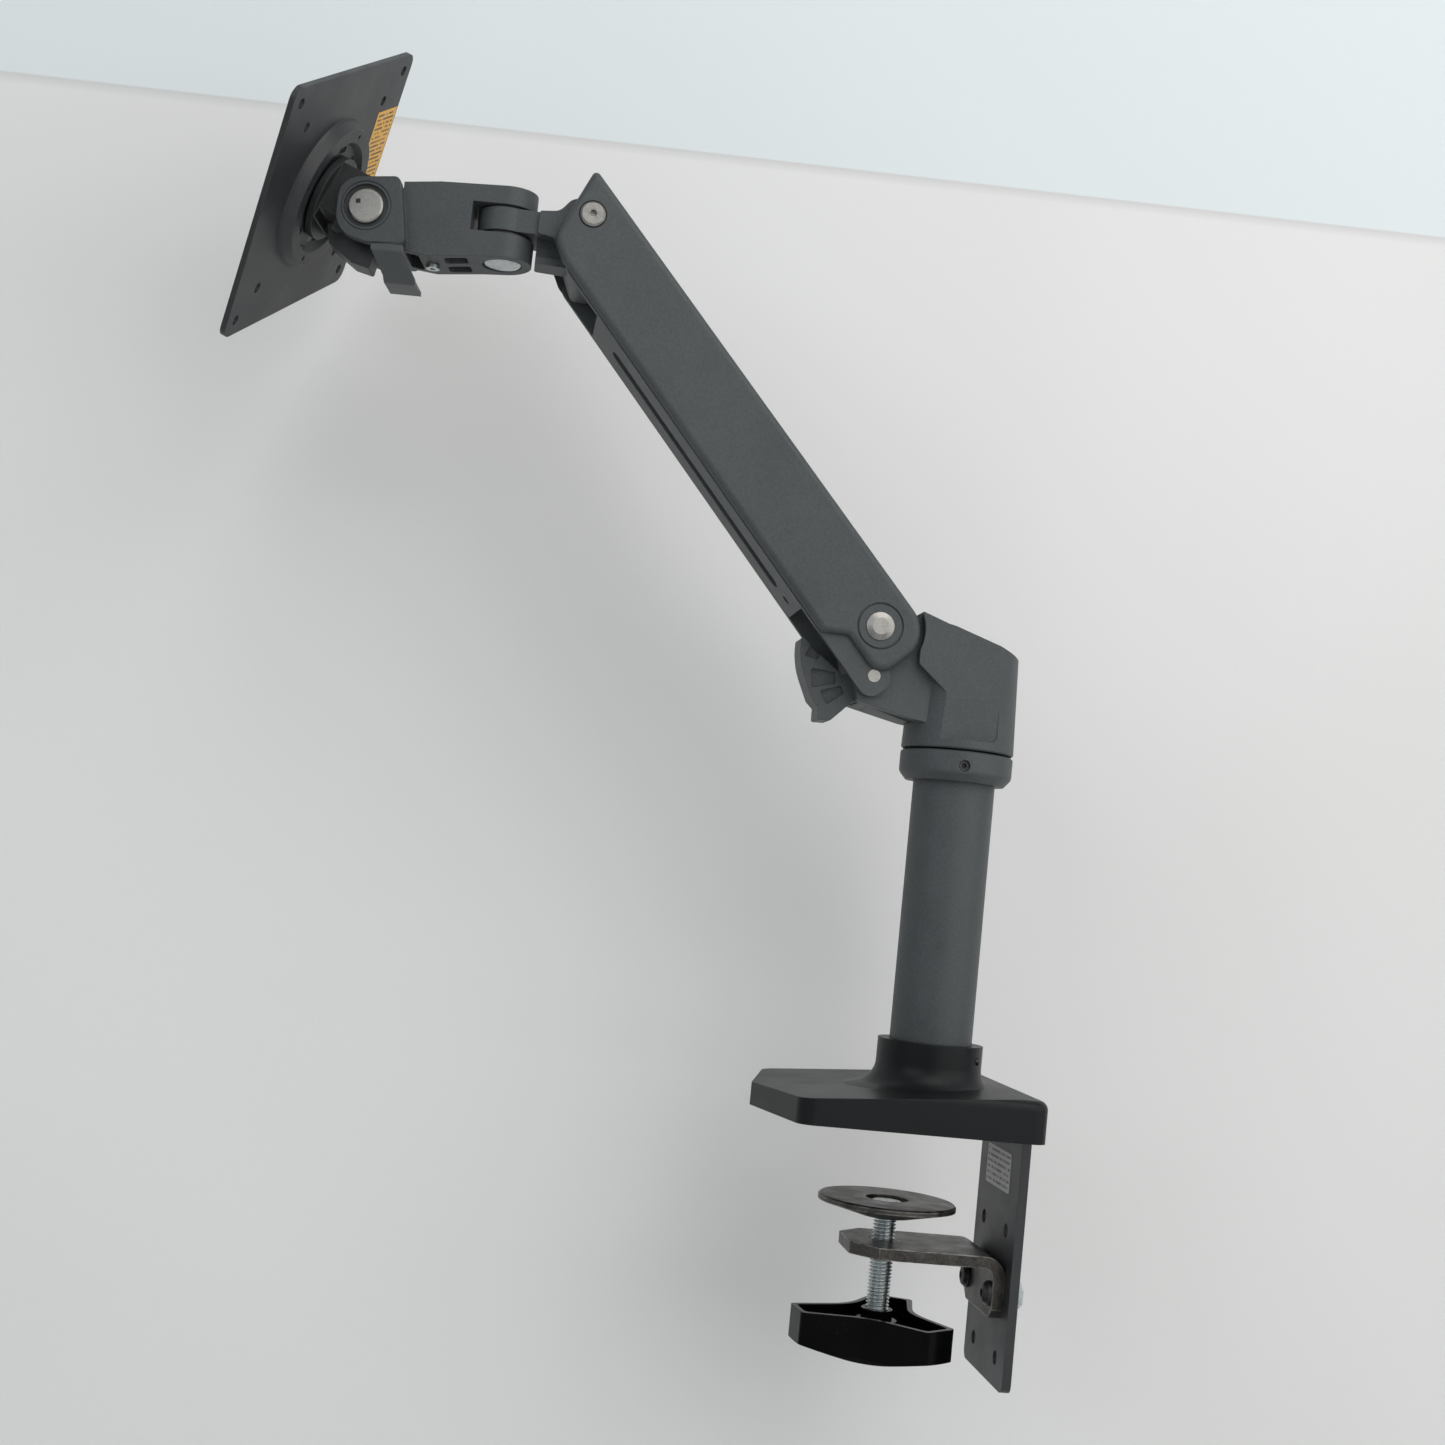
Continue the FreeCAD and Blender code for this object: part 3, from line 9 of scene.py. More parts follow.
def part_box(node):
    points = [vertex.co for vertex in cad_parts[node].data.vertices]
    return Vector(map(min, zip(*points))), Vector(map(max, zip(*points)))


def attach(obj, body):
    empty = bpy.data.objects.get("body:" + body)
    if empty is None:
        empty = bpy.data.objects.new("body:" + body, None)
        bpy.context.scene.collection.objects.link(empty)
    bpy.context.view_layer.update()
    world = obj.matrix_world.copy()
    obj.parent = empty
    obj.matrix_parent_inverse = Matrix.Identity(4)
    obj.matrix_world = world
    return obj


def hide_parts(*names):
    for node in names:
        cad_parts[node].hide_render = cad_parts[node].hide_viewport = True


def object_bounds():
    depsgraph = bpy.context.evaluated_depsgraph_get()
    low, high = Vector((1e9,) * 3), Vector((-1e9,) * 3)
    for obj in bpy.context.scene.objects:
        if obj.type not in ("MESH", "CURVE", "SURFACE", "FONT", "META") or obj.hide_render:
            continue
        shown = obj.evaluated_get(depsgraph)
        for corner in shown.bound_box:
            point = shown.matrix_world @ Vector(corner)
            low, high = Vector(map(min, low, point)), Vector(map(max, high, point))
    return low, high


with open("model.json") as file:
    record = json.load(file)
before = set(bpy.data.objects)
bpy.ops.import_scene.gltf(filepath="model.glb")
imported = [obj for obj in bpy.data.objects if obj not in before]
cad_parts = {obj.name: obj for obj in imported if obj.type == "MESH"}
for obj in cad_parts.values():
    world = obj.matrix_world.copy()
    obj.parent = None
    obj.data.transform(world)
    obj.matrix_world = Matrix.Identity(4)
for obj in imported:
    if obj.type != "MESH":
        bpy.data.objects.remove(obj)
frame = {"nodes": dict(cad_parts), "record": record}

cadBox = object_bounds()
nodes = frame["nodes"]
print("frame loaded:", len(nodes), "nodes")


# camera ------------------------------------------------------------------

camera = {
    "place": (-0.20438, -0.84393, 0.09459),
    "right": (0.98717, -0.12400, 0.10056),
    "forward": (0.11610, 0.98993, 0.08097),
    "lens": 48.58,
    "sensor": 36.0,
}


def makeCamera():
    data = bpy.data.cameras.new("camera")
    data.lens = camera["lens"]
    data.sensor_width = camera["sensor"]
    data.clip_start = 0.01
    data.clip_end = 20
    obj = bpy.data.objects.new("camera", data)
    bpy.context.scene.collection.objects.link(obj)
    forward = Vector(camera["forward"]).normalized()
    right = Vector(camera["right"]).normalized()
    up = right.cross(forward)
    turn = Matrix((right, up, -forward)).transposed().to_4x4()
    obj.matrix_world = Matrix.Translation(camera["place"]) @ turn
    bpy.context.scene.camera = obj


makeCamera()
print("camera placed")


# lights and studio -------------------------------------------------------

studio = {
    "worldColor": (0.93, 0.965, 1.0),
    "worldStrength": 0.42,
    "aim": (-0.12, 0.0, 0.13),
    "lightAspect": 0.8,
}

# a large soft light from the right throws the shadows to the left
lights = {
    "keyLight": {
        "place": (0.75, -1.0, 0.55), "size": 1.9, "power": 11.5, "color": (1, 0.985, 0.96)},
    "topLight": {
        "place": (0.1, -0.85, 1.35), "size": 1.2, "power": 7.0, "color": (1, 0.98, 0.95)},
    "fillLight": {
        "place": (-1.2, -1.2, 0.7), "size": 1.2, "power": 4.4, "color": (0.94, 0.97, 1)},
}

paperSheet = {
    "back": 0.03,
    "below": 0.5,
    "bend": 0.12,
    "bendSteps": 24,
    "left": -2.2,
    "wide": 4.4,
    "front": -2.4,
    "tall": 2.6,
    "dark": (0.70, 0.70, 0.69),
    "light": (0.735, 0.74, 0.74),
    "cloudScale": 2.2,
    "rough": 0.9,
    "gloss": 0.15,
    "fibreScale": 900.0,
    "fibreHeight": 0.00008,
    "seamHeight": 0.465,
    "seamSlope": -0.03,
    "seamShadow": (0.60, 0.60, 0.60),
    "shadowWide": 0.005,
    "upperColor": (0.69, 0.735, 0.745),
}


def makeLight(name, values):
    data = bpy.data.lights.new(name, "AREA")
    data.shape = "RECTANGLE"
    data.size = values["size"]
    data.size_y = values["size"] * studio["lightAspect"]
    data.energy = values["power"]
    data.color = values["color"]
    obj = bpy.data.objects.new(name, data)
    bpy.context.scene.collection.objects.link(obj)
    aim = Vector(studio["aim"]) - Vector(values["place"])
    turn = aim.to_track_quat("-Z", "Y").to_matrix().to_4x4()
    obj.matrix_world = Matrix.Translation(values["place"]) @ turn


def makeWorld():
    world = bpy.data.worlds.new("studio")
    world.use_nodes = True
    sky = world.node_tree.nodes["Background"]
    sky.inputs["Color"].default_value = (*studio["worldColor"], 1)
    sky.inputs["Strength"].default_value = studio["worldStrength"]
    bpy.context.scene.world = world
    bpy.context.scene.view_settings.view_transform = "Standard"


# Pale paper behind the object: a wall that bends forward well below the picture.
def makePaper():
    low = cadBox[0][2] - paperSheet["below"]
    back = cadBox[1][1] + paperSheet["back"]
    bend = paperSheet["bend"]
    left = paperSheet["left"]
    mesh = bmesh.new()
    start = mesh.verts.new((left, paperSheet["front"], low))
    floorEnd = mesh.verts.new((left, back - bend, low))
    mesh.edges.new((start, floorEnd))
    swept = bmesh.ops.spin(mesh, geom=[floorEnd], cent=(0, back - bend, low + bend), axis=(1, 0, 0),
                           angle=math.pi / 2, steps=paperSheet["bendSteps"], use_duplicate=False)
    wallFoot = [v for v in swept["geom_last"] if isinstance(v, bmesh.types.BMVert)][0]
    top = mesh.verts.new((left, back, low + paperSheet["tall"]))
    mesh.edges.new((wallFoot, top))
    wide = bmesh.ops.extrude_edge_only(mesh, edges=list(mesh.edges))
    moved = [v for v in wide["geom"] if isinstance(v, bmesh.types.BMVert)]
    bmesh.ops.translate(mesh, verts=moved, vec=(paperSheet["wide"], 0, 0))
    bmesh.ops.remove_doubles(mesh, verts=mesh.verts, dist=1e-5)
    for face in mesh.faces:
        face.normal_update()
    # its front has to look up and towards the camera, since its back is unseen
    if not any(face.normal.z > 0.9 for face in mesh.faces):
        bmesh.ops.reverse_faces(mesh, faces=mesh.faces)
    paper = finishMesh("paper", mesh)
    paper.data.materials.append(paperMaterial())


# small helpers for meshes ------------------------------------------------

def finishMesh(name, mesh, smooth=True):
    data = bpy.data.meshes.new(name)
    for face in mesh.faces:
        face.smooth = smooth
    mesh.to_mesh(data)
    mesh.free()
    obj = bpy.data.objects.new(name, data)
    bpy.context.scene.collection.objects.link(obj)
    return obj


# node helpers ------------------------------------------------------------

def addNode(tree, kind, **values):
    node = tree.nodes.new(kind)
    for key, value in values.items():
        setattr(node, key, value)
    return node


def fill(node, **values):
    for key, value in values.items():
        node.inputs[key.replace("_", " ")].default_value = value
    return node


def startMaterial(name):
    material = bpy.data.materials.new(name)
    material.use_nodes = True
    tree = material.node_tree
    shader = tree.nodes["Principled BSDF"]
    return material, tree, shader


def startGroup(name, inputs, outputs):
    tree = bpy.data.node_groups.new(name, "ShaderNodeTree")
    for label, value in inputs.items():
        socket = tree.interface.new_socket(label, in_out="INPUT", socket_type="NodeSocketFloat")
        socket.default_value = value
    for label, kind in outputs.items():
        tree.interface.new_socket(label, in_out="OUTPUT", socket_type=kind)
    entry = tree.nodes.new("NodeGroupInput")
    leave = tree.nodes.new("NodeGroupOutput")
    return tree, entry, leave


def placeGroup(tree, group, **values):
    node = tree.nodes.new("ShaderNodeGroup")
    node.node_tree = group
    return fill(node, **values)


def math2(tree, operation, a, b=None, clamp=False):
    node = addNode(tree, "ShaderNodeMath", operation=operation, use_clamp=clamp)
    for socket, value in zip(node.inputs, (a, b)):
        if value is None:
            continue
        if isinstance(value, (int, float)):
            socket.default_value = value
        else:
            tree.links.new(value, socket)
    return node.outputs[0]


def noiseAt(tree, scale, detail=3.0, rough=0.55):
    noise = addNode(tree, "ShaderNodeTexNoise")
    fill(noise, Detail=detail, Roughness=rough)
    if isinstance(scale, (int, float)):
        noise.inputs["Scale"].default_value = scale
    else:
        tree.links.new(scale, noise.inputs["Scale"])
    spot = addNode(tree, "ShaderNodeTexCoord").outputs["Object"]
    tree.links.new(spot, noise.inputs["Vector"])
    return noise.outputs["Fac"]


def spread(tree, value, low, high, outLow=0.0, outHigh=1.0):
    node = addNode(tree, "ShaderNodeMapRange", clamp=True)
    tree.links.new(value, node.inputs["Value"])
    limits = {"From Min": low, "From Max": high, "To Min": outLow, "To Max": outHigh}
    for label, amount in limits.items():
        node.inputs[label].default_value = amount
    return node.outputs["Result"]


def mixColor(tree, factor, first, second):
    node = addNode(tree, "ShaderNodeMix", data_type="RGBA")
    tree.links.new(factor, node.inputs[0])
    for socket, value in ((node.inputs[6], first), (node.inputs[7], second)):
        if isinstance(value, tuple):
            socket.default_value = (*value, 1)
        else:
            tree.links.new(value, socket)
    return node.outputs[2]


# shared effects ----------------------------------------------------------

# Fine grain of a coated, moulded or rolled surface, over softened edges.
def buildGrain():
    tree, entry, leave = startGroup(
        "surfaceGrain",
        {"Grain Size": 0.0007, "Grain Height": 0.00003, "Cloud Size": 0.02, "Edge Radius": 0.0005},
        {"Cloud": "NodeSocketFloat", "Speckle": "NodeSocketFloat", "Normal": "NodeSocketVector"})
    link = tree.links.new
    fineScale = math2(tree, "DIVIDE", 1.0, entry.outputs["Grain Size"])
    fine = noiseAt(tree, fineScale, 2.0, 0.6)
    cloudScale = math2(tree, "DIVIDE", 1.0, entry.outputs["Cloud Size"])
    cloud = noiseAt(tree, cloudScale, 4.0, 0.6)
    bevel = addNode(tree, "ShaderNodeBevel", samples=4)
    link(entry.outputs["Edge Radius"], bevel.inputs["Radius"])
    bump = addNode(tree, "ShaderNodeBump")
    link(entry.outputs["Grain Height"], bump.inputs["Distance"])
    link(fine, bump.inputs["Height"])
    link(bevel.outputs["Normal"], bump.inputs["Normal"])
    link(cloud, leave.inputs["Cloud"])
    link(fine, leave.inputs["Speckle"])
    link(bump.outputs["Normal"], leave.inputs["Normal"])
    return tree


# Mask of edges that rubbing has brightened, broken up by noise.
def buildEdgeWear():
    tree, entry, leave = startGroup(
        "edgeWear",
        {"Width": 0.0008, "Breakup Size": 0.004, "Amount": 1.0},
        {"Mask": "NodeSocketFloat"})
    link = tree.links.new
    bevel = addNode(tree, "ShaderNodeBevel", samples=4)
    link(entry.outputs["Width"], bevel.inputs["Radius"])
    here = addNode(tree, "ShaderNodeNewGeometry")
    dot = addNode(tree, "ShaderNodeVectorMath", operation="DOT_PRODUCT")
    link(bevel.outputs["Normal"], dot.inputs[0])
    link(here.outputs["Normal"], dot.inputs[1])
    edge = spread(tree, math2(tree, "SUBTRACT", 1.0, dot.outputs["Value"]), 0.03, 0.22)
    breakup = noiseAt(tree, math2(tree, "DIVIDE", 1.0, entry.outputs["Breakup Size"]))
    worn = math2(tree, "MULTIPLY", edge, spread(tree, breakup, 0.35, 0.6))
    link(math2(tree, "MULTIPLY", worn, entry.outputs["Amount"], clamp=True), leave.inputs["Mask"])
    return tree


# Mask of a few settled specks, more on surfaces that look up.
def buildDust():
    tree, entry, leave = startGroup(
        "settledDust", {"Speck Size": 0.0016, "Amount": 0.5}, {"Mask": "NodeSocketFloat"})
    link = tree.links.new
    cells = addNode(tree, "ShaderNodeTexVoronoi", feature="F1")
    link(addNode(tree, "ShaderNodeTexCoord").outputs["Object"], cells.inputs["Vector"])
    link(math2(tree, "DIVIDE", 1.0, entry.outputs["Speck Size"]), cells.inputs["Scale"])
    spot = spread(tree, cells.outputs["Distance"], 0.16, 0.05)
    thin = spread(tree, noiseAt(tree, 45.0, 4.0), 0.58, 0.74)
    facing = addNode(tree, "ShaderNodeSeparateXYZ")
    link(addNode(tree, "ShaderNodeNewGeometry").outputs["Normal"], facing.inputs["Vector"])
    up = spread(tree, facing.outputs["Z"], -0.2, 0.9, 0.25, 1.0)
    mask = math2(tree, "MULTIPLY", math2(tree, "MULTIPLY", spot, thin), up)
    link(math2(tree, "MULTIPLY", mask, entry.outputs["Amount"], clamp=True), leave.inputs["Mask"])
    return tree


surfaceGrain = buildGrain()
edgeWear = buildEdgeWear()
settledDust = buildDust()


# materials ---------------------------------------------------------------

def paperMaterial():
    material, tree, shader = startMaterial("palePaper")
    link = tree.links.new
    cloud = spread(tree, noiseAt(tree, paperSheet["cloudScale"], 2.0), 0.3, 0.7)
    color = mixColor(tree, cloud, paperSheet["dark"], paperSheet["light"])
    # a cooler sheet lies over the top of the first one, and its edge slopes a little
    axes = addNode(tree, "ShaderNodeSeparateXYZ")
    link(addNode(tree, "ShaderNodeTexCoord").outputs["Object"], axes.inputs["Vector"])
    slope = math2(tree, "MULTIPLY", axes.outputs["X"], paperSheet["seamSlope"])
    above = math2(tree, "ADD", axes.outputs["Z"], slope)
    seam = paperSheet["seamHeight"]
    shadow = spread(tree, above, seam - paperSheet["shadowWide"], seam)
    color = mixColor(tree, shadow, color, paperSheet["seamShadow"])
    color = mixColor(tree, spread(tree, above, seam, seam + 0.001), color, paperSheet["upperColor"])
    link(color, shader.inputs["Base Color"])
    shader.inputs["Roughness"].default_value = paperSheet["rough"]
    shader.inputs["Specular IOR Level"].default_value = paperSheet["gloss"]
    fibre = addNode(tree, "ShaderNodeBump")
    fill(fibre, Distance=paperSheet["fibreHeight"], Strength=0.5)
    link(noiseAt(tree, paperSheet["fibreScale"], 4.0), fibre.inputs["Height"])
    link(fibre.outputs["Normal"], shader.inputs["Normal"])
    # seen from behind, the sheet is clear
    clear = addNode(tree, "ShaderNodeBsdfTransparent")
    pick = addNode(tree, "ShaderNodeMixShader")
    link(addNode(tree, "ShaderNodeNewGeometry").outputs["Backfacing"], pick.inputs[0])
    link(shader.outputs[0], pick.inputs[1])
    link(clear.outputs[0], pick.inputs[2])
    link(pick.outputs[0], tree.nodes["Material Output"].inputs["Surface"])
    return material


# One recipe for coated, moulded and bare finishes; each has its own numbers.
coats = {
    "grey_casting": {
        "dark": (0.038, 0.044, 0.046), "light": (0.062, 0.069, 0.072),
        "rough": (0.44, 0.56), "gloss": 0.4,
        "grain": 0.0009, "height": 0.00006, "cloud": 0.03, "edge": 0.0006,
        "wear": 0.35, "wearColor": (0.13, 0.14, 0.145), "dust": 0.25},
    "black_coated_steel": {
        "dark": (0.014, 0.015, 0.017), "light": (0.024, 0.025, 0.028), "rough": (0.38, 0.50),
        "grain": 0.0008, "height": 0.00005, "cloud": 0.025, "edge": 0.0004,
        "wear": 0.4, "wearColor": (0.12, 0.12, 0.125), "dust": 0.4},
    "black_casting": {
        "dark": (0.016, 0.017, 0.018), "light": (0.026, 0.027, 0.029), "rough": (0.38, 0.5),
        "grain": 0.0007, "height": 0.00004, "cloud": 0.015, "edge": 0.0005,
        "wear": 0.5, "wearColor": (0.10, 0.10, 0.10), "dust": 0.3},
    "black_cover": {
        "dark": (0.005, 0.0057, 0.0066), "light": (0.0085, 0.0094, 0.0105),
        "rough": (0.32, 0.42), "gloss": 0.18,
        "grain": 0.0005, "height": 0.00003, "cloud": 0.04, "edge": 0.0007,
        "wear": 0.15, "wearColor": (0.09, 0.09, 0.09), "dust": 0.6},
    "black_knob": {
        "dark": (0.0012, 0.0012, 0.0015), "light": (0.0022, 0.0022, 0.0026),
        "rough": (0.09, 0.16), "gloss": 0.10,
        "grain": 0.006, "height": 0.00002, "cloud": 0.02, "edge": 0.0006,
        "wear": 0.1, "wearColor": (0.05, 0.05, 0.05), "dust": 0.8},
    "black_screw": {
        "dark": (0.020, 0.020, 0.021), "light": (0.036, 0.036, 0.037),
        "rough": (0.30, 0.45), "metal": 0.6,
        "grain": 0.0005, "height": 0.00002, "cloud": 0.006, "edge": 0.0003,
        "wear": 0.9, "wearColor": (0.30, 0.29, 0.28), "dust": 0.1},
    "bearing_plastic": {
        "dark": (0.030, 0.030, 0.030), "light": (0.042, 0.042, 0.042), "rough": (0.35, 0.45),
        "grain": 0.0005, "height": 0.00001, "cloud": 0.01, "edge": 0.0003,
        "wear": 0.1, "wearColor": (0.1, 0.1, 0.1), "dust": 0.1},
    "rubber_sheet": {
        "dark": (0.020, 0.020, 0.020), "light": (0.032, 0.032, 0.032), "rough": (0.8, 0.95),
        "grain": 0.0009, "height": 0.0001, "cloud": 0.01, "edge": 0.0004,
        "wear": 0.2, "wearColor": (0.07, 0.07, 0.07), "dust": 0.6},
    "clip_grey": {
        "dark": (0.040, 0.045, 0.047), "light": (0.056, 0.062, 0.064), "rough": (0.40, 0.50),
        "grain": 0.0005, "height": 0.00002, "cloud": 0.012, "edge": 0.0005,
        "wear": 0.5, "wearColor": (0.2, 0.2, 0.2), "dust": 0.2},
    "dark_steel": {
        "dark": (0.030, 0.028, 0.026), "light": (0.095, 0.088, 0.080),
        "rough": (0.28, 0.48), "metal": 0.8,
        "grain": 0.0009, "height": 0.00004, "cloud": 0.009, "edge": 0.0006,
        "wear": 1.0, "wearColor": (0.62, 0.60, 0.56), "dust": 0.1},
    "zinc_steel": {
        "dark": (0.42, 0.46, 0.46), "light": (0.66, 0.70, 0.70),
        "rough": (0.22, 0.38), "metal": 1.0,
        "grain": 0.0006, "height": 0.00001, "cloud": 0.008, "edge": 0.0002,
        "wear": 0.4, "wearColor": (0.85, 0.88, 0.88), "dust": 0.1},
    "satin_nickel": {
        "dark": (0.22, 0.215, 0.20), "light": (0.36, 0.35, 0.33),
        "rough": (0.30, 0.42), "metal": 1.0,
        "grain": 0.0005, "height": 0.00001, "cloud": 0.004, "edge": 0.0003,
        "wear": 0.5, "wearColor": (0.8, 0.79, 0.75), "dust": 0.1},
    "spring_steel": {
        "dark": (0.10, 0.10, 0.105), "light": (0.18, 0.18, 0.185),
        "rough": (0.3, 0.42), "metal": 0.9,
        "grain": 0.0006, "height": 0.00001, "cloud": 0.006, "edge": 0.0002,
        "wear": 0.2, "wearColor": (0.4, 0.4, 0.4), "dust": 0.1},
    "turned_steel": {
        "dark": (0.22, 0.22, 0.225), "light": (0.34, 0.34, 0.345),
        "rough": (0.28, 0.4), "metal": 1.0,
        "grain": 0.0006, "height": 0.00001, "cloud": 0.006, "edge": 0.0003,
        "wear": 0.4, "wearColor": (0.6, 0.6, 0.6), "dust": 0.1},
}
dustColor = (0.42, 0.41, 0.39)


def coatMaterial(slot, values):
    material, tree, shader = startMaterial(slot)
    link = tree.links.new
    grain = placeGroup(tree, surfaceGrain, Grain_Size=values["grain"],
                       Grain_Height=values["height"], Cloud_Size=values["cloud"],
                       Edge_Radius=values["edge"])
    wear = placeGroup(tree, edgeWear, Width=values["edge"] * 1.6, Breakup_Size=0.005,
                      Amount=values["wear"])
    dust = placeGroup(tree, settledDust, Amount=values["dust"])
    cloud = spread(tree, grain.outputs["Cloud"], 0.3, 0.7)
    speckle = spread(tree, grain.outputs["Speckle"], 0.35, 0.65, 0.0, 0.5)
    tone = math2(tree, "ADD", math2(tree, "MULTIPLY", cloud, 0.6), speckle, clamp=True)
    color = mixColor(tree, tone, values["dark"], values["light"])
    color = mixColor(tree, wear.outputs["Mask"], color, values["wearColor"])
    color = mixColor(tree, math2(tree, "MULTIPLY", dust.outputs["Mask"], 0.5), color, dustColor)
    link(color, shader.inputs["Base Color"])
    smooth, rough = values["rough"]
    link(spread(tree, math2(tree, "ADD", cloud, dust.outputs["Mask"]), 0.0, 1.0, smooth, rough),
         shader.inputs["Roughness"])
    link(grain.outputs["Normal"], shader.inputs["Normal"])
    shader.inputs["Metallic"].default_value = values.get("metal", 0.0)
    shader.inputs["Specular IOR Level"].default_value = values.get("gloss", 0.5)
    return material


# Printed labels: rows of generic dark bars on a coloured sheet.
labels = {
    "label_white": {
        "sheet": (0.52, 0.52, 0.50), "ink": (0.10, 0.10, 0.10), "rough": 0.45,
        "row": 0.0026, "dash": 0.0035, "margin": 0.0012, "halfWide": 0.019, "halfTall": 0.0085},
    "label_orange": {
        "sheet": (0.78, 0.42, 0.07), "ink": (0.05, 0.04, 0.03), "rough": 0.42,
        "row": 0.0022, "dash": 0.0042, "margin": 0.0015, "halfWide": 0.01, "halfTall": 0.023},
}


# The mapping brings the sheet's own width and height to X and Y, centred on it.
def labelMaterial(slot, middle, across, along):
    values = labels[slot]
    material, tree, shader = startMaterial(slot)
    link = tree.links.new
    normal = across.cross(along)
    turn = Matrix((across, along, normal))
    mapping = addNode(tree, "ShaderNodeMapping")
    mapping.inputs["Rotation"].default_value = turn.to_euler()
    mapping.inputs["Location"].default_value = -(turn @ middle)
    link(addNode(tree, "ShaderNodeTexCoord").outputs["Object"], mapping.inputs["Vector"])
    split = addNode(tree, "ShaderNodeSeparateXYZ")
    link(mapping.outputs["Vector"], split.inputs["Vector"])
    x, y = split.outputs["X"], split.outputs["Y"]
    row = math2(tree, "DIVIDE", y, values["row"])
    inRow = math2(tree, "FRACT", row)
    bar = math2(tree, "MULTIPLY", math2(tree, "GREATER_THAN", inRow, 0.3),
                math2(tree, "LESS_THAN", inRow, 0.72))
    step = math2(tree, "FLOOR", row)
    offset = math2(tree, "FRACT", math2(tree, "MULTIPLY", step, 0.618))
    dash = addNode(tree, "ShaderNodeTexWhiteNoise", noise_dimensions="2D")
    column = math2(tree, "DIVIDE", x, values["dash"] * 0.35)
    cell = math2(tree, "FLOOR", math2(tree, "ADD", column, offset))
    joined = addNode(tree, "ShaderNodeCombineXYZ")
    link(cell, joined.inputs["X"])
    link(step, joined.inputs["Y"])
    link(joined.outputs["Vector"], dash.inputs["Vector"])
    printed = math2(tree, "GREATER_THAN", dash.outputs["Value"], 0.22)
    printWide = values["halfWide"] - values["margin"]
    printTall = values["halfTall"] - values["margin"]
    insideX = math2(tree, "LESS_THAN", math2(tree, "ABSOLUTE", x), printWide)
    insideY = math2(tree, "LESS_THAN", math2(tree, "ABSOLUTE", y), printTall)
    mask = math2(tree, "MULTIPLY", math2(tree, "MULTIPLY", bar, printed),
                 math2(tree, "MULTIPLY", insideX, insideY))
    grain = placeGroup(tree, surfaceGrain, Grain_Size=0.0009, Grain_Height=0.00001, Cloud_Size=0.01,
                       Edge_Radius=0.0001)
    worn = math2(tree, "MULTIPLY", mask, spread(tree, grain.outputs["Cloud"], 0.35, 0.5, 0.6, 0.9))
    link(mixColor(tree, worn, values["sheet"], values["ink"]), shader.inputs["Base Color"])
    link(spread(tree, grain.outputs["Cloud"], 0.3, 0.7, values["rough"], values["rough"] + 0.12),
         shader.inputs["Roughness"])
    link(grain.outputs["Normal"], shader.inputs["Normal"])
    return material


materials = {slot: coatMaterial(slot, values) for slot, values in coats.items()}


def middleOf(node):
    low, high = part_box(node)
    return (low + high) / 2


# The screen plate's own directions at rest, from its joints' turns.
plateTurn = {"pan": -7.5, "tilt": -22.7, "roll": -34.0}


def plateAxes():
    panned = Matrix.Rotation(math.radians(plateTurn["pan"]), 3, "Z")
    facing = Matrix.Rotation(math.pi, 3, "Z") @ panned
    tilted = facing @ Matrix.Rotation(math.radians(plateTurn["tilt"]), 3, "Y")
    rolled = tilted @ Matrix.Rotation(math.radians(plateTurn["roll"]), 3, "X")
    return rolled.col[1].copy(), rolled.col[2].copy()


materials["label_white"] = labelMaterial("label_white", middleOf("spec_label"),
                                         Vector((0, 1, 0)), Vector((0, 0, 1)))
materials["label_orange"] = labelMaterial("label_orange", middleOf("plate_label"), *plateAxes())
print("materials made:", len(materials))


def dressNodes():
    for row in frame["record"]["subparts"]:
        obj = nodes[row["node"]]
        obj.data.materials.clear()
        obj.data.materials.append(materials[row["material_slot"]])


dressNodes()


# clamp screw -------------------------------------------------------------

clampScrew = {
    "radius": 0.005,
    "rootRadius": 0.00412,
    "pitch": 0.0015,
    "stepsPerTurn": 28,
    "spareTurns": 3,
    "sharpAngle": 35,
}


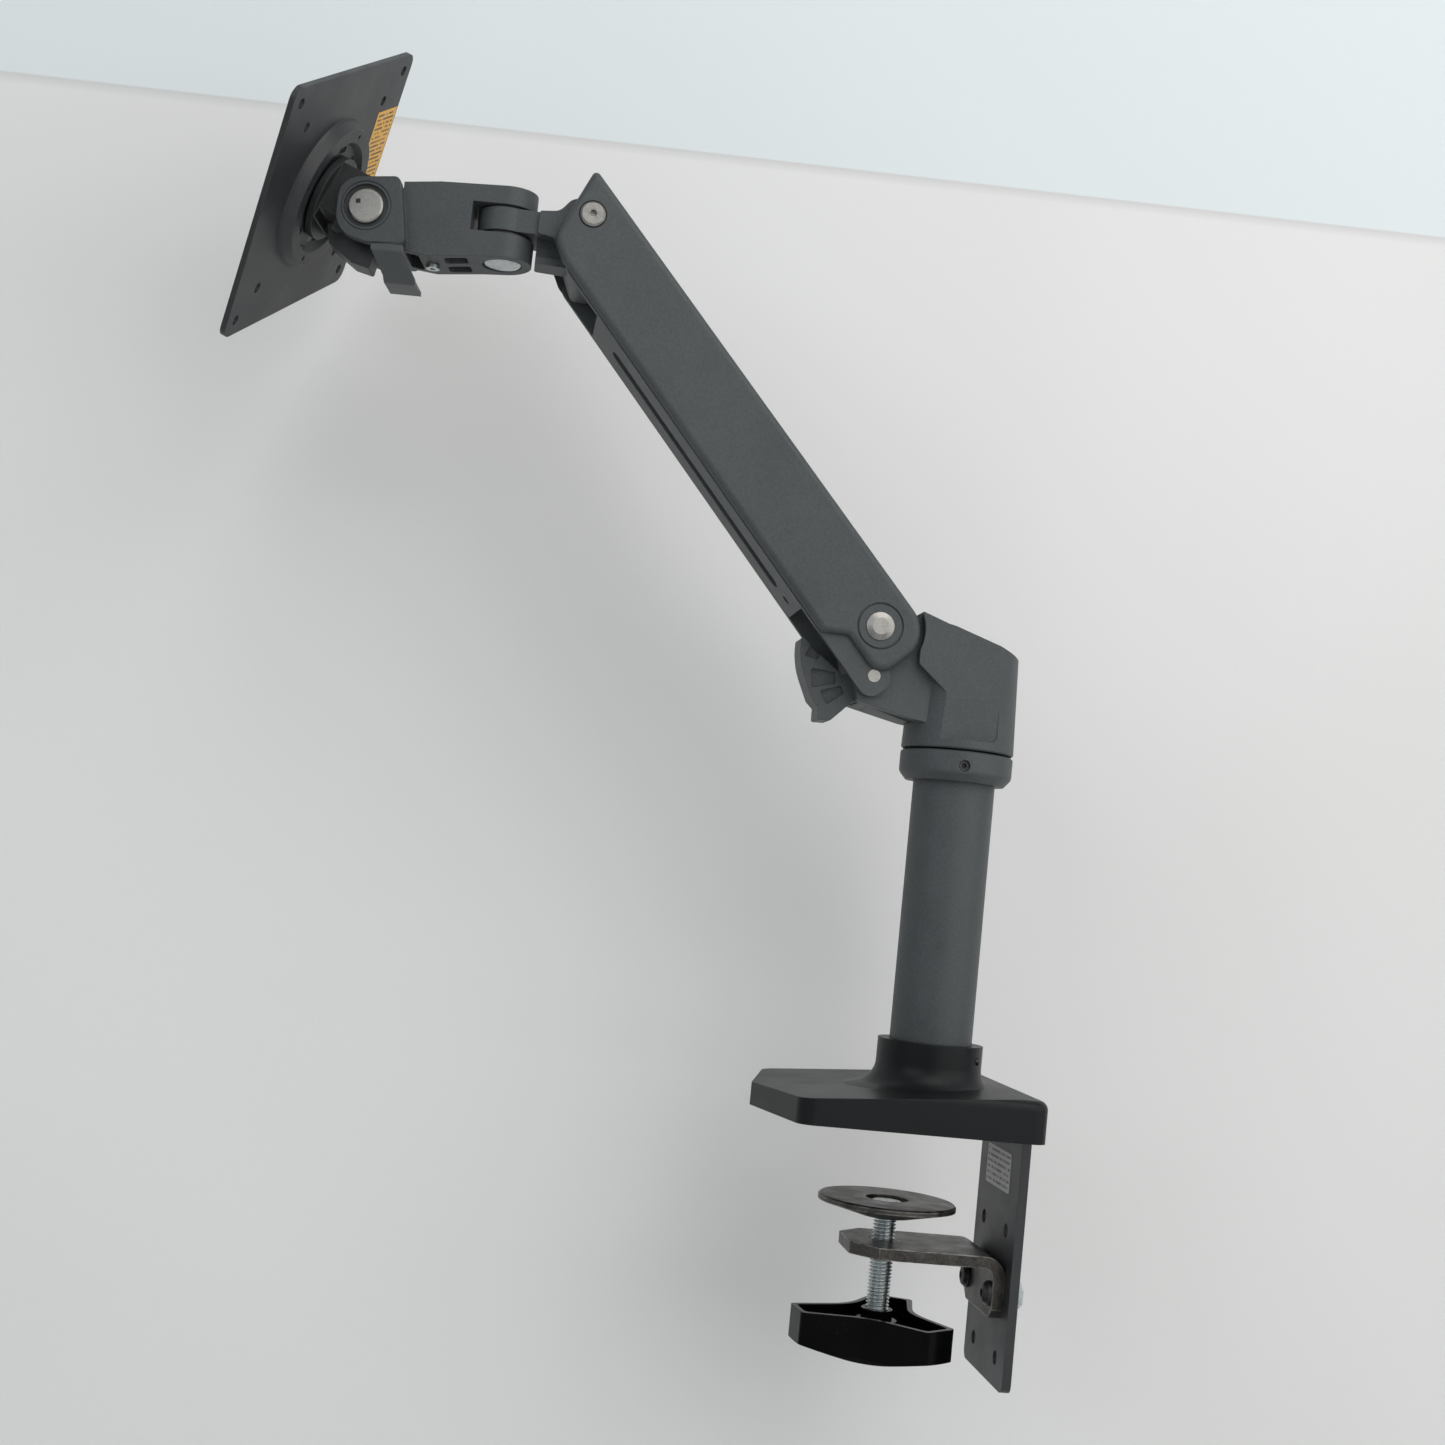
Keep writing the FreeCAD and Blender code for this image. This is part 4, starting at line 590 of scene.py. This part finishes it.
# One thread's outline is swept up a helix, then cut to the screw's length.
def makeClampScrew():
    low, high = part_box("clamp_screw")
    axisX, axisY = middleOf("clamp_screw").xy
    pitch, crest, root = clampScrew["pitch"], clampScrew["radius"], clampScrew["rootRadius"]
    steps = clampScrew["stepsPerTurn"]
    turns = math.ceil((high.z - low.z) / pitch) + clampScrew["spareTurns"]
    start = low.z - 2 * pitch
    mesh = bmesh.new()
    shape = [(root, 0.0), (root, 0.12), (crest, 0.44), (crest, 0.56), (root, 0.88), (root, 1.0)]
    verts = [mesh.verts.new((axisX + r, axisY, start + h * pitch)) for r, h in shape]
    edges = [mesh.edges.new(pair) for pair in zip(verts, verts[1:])]
    bmesh.ops.spin(mesh, geom=verts + edges, cent=(axisX, axisY, start), axis=(0, 0, 1),
                   dvec=(0, 0, pitch / steps), angle=2 * math.pi * turns, steps=steps * turns,
                   use_duplicate=False)
    bmesh.ops.remove_doubles(mesh, verts=mesh.verts, dist=2e-5)
    for place, way in ((low.z, -1), (high.z, 1)):
        geometry = list(mesh.verts) + list(mesh.edges) + list(mesh.faces)
        cut = bmesh.ops.bisect_plane(mesh, geom=geometry, dist=1e-6, plane_co=(0, 0, place),
                                     plane_no=(0, 0, way), clear_outer=True)
        rim = [e for e in cut["geom_cut"] if isinstance(e, bmesh.types.BMEdge)]
        bmesh.ops.holes_fill(mesh, edges=rim, sides=0)
    bmesh.ops.recalc_face_normals(mesh, faces=mesh.faces)
    for edge in mesh.edges:
        edge.smooth = edge.calc_face_angle(0) < math.radians(clampScrew["sharpAngle"])
    screw = finishMesh("clampScrewThread", mesh)
    screw.data.materials.append(materials["zinc_steel"])
    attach(screw, "screw")
    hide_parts("clamp_screw")


makeClampScrew()
print("clamp screw threaded")


# tilt cap mark: painted shade ----------------------------------------------

# A small dark square block on the cap of the tilt pivot that faces the viewer: painted shade that
# stands for the inside of a small punched square recess in the cap.
capShadeSquare = {
    "side": 0.0021,
    "deep": 0.0002,
    "shift": (-0.0032, 0.0014),
    "turn": -9.0,
    "sunk": 0.00095,
}


def makeCapShadeSquare():
    near = Matrix.Rotation(math.radians(plateTurn["pan"]), 3, "Z") @ Vector((0, -1, 0))
    across = near.cross(Vector((0, 0, 1)))
    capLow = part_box("tilt_caps")[0].y
    middle = middleOf("tilt_axle")
    spot = middle + near * ((middle.y - capLow) / abs(near.y) - capShadeSquare["sunk"])
    right, up = capShadeSquare["shift"]
    mesh = bmesh.new()
    bmesh.ops.create_cube(mesh, size=1)
    bmesh.ops.scale(mesh, verts=mesh.verts, vec=(capShadeSquare["side"], capShadeSquare["deep"], capShadeSquare["side"]))
    bmesh.ops.bevel(mesh, geom=mesh.edges, offset=capShadeSquare["deep"] * 0.3, segments=2, profile=0.5,
                    affect="EDGES", material=-1)
    turn = Matrix.Rotation(math.radians(plateTurn["pan"]), 4, "Z") @ Matrix.Rotation(
        math.radians(capShadeSquare["turn"]), 4, "Y")
    place = Matrix.Translation(spot - across * right + Vector((0, 0, up)))
    bmesh.ops.transform(mesh, matrix=place @ turn, verts=mesh.verts)
    mark = finishMesh("tiltCapShadeSquare", mesh, smooth=False)
    # the dark screw finish here is the painted shade of the punched recess
    mark.data.materials.append(materials["black_screw"])
    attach(mark, "head")


makeCapShadeSquare()
print("cap mark made")


makeWorld()
for name, values in lights.items():
    makeLight(name, values)
makePaper()
print("studio lit")
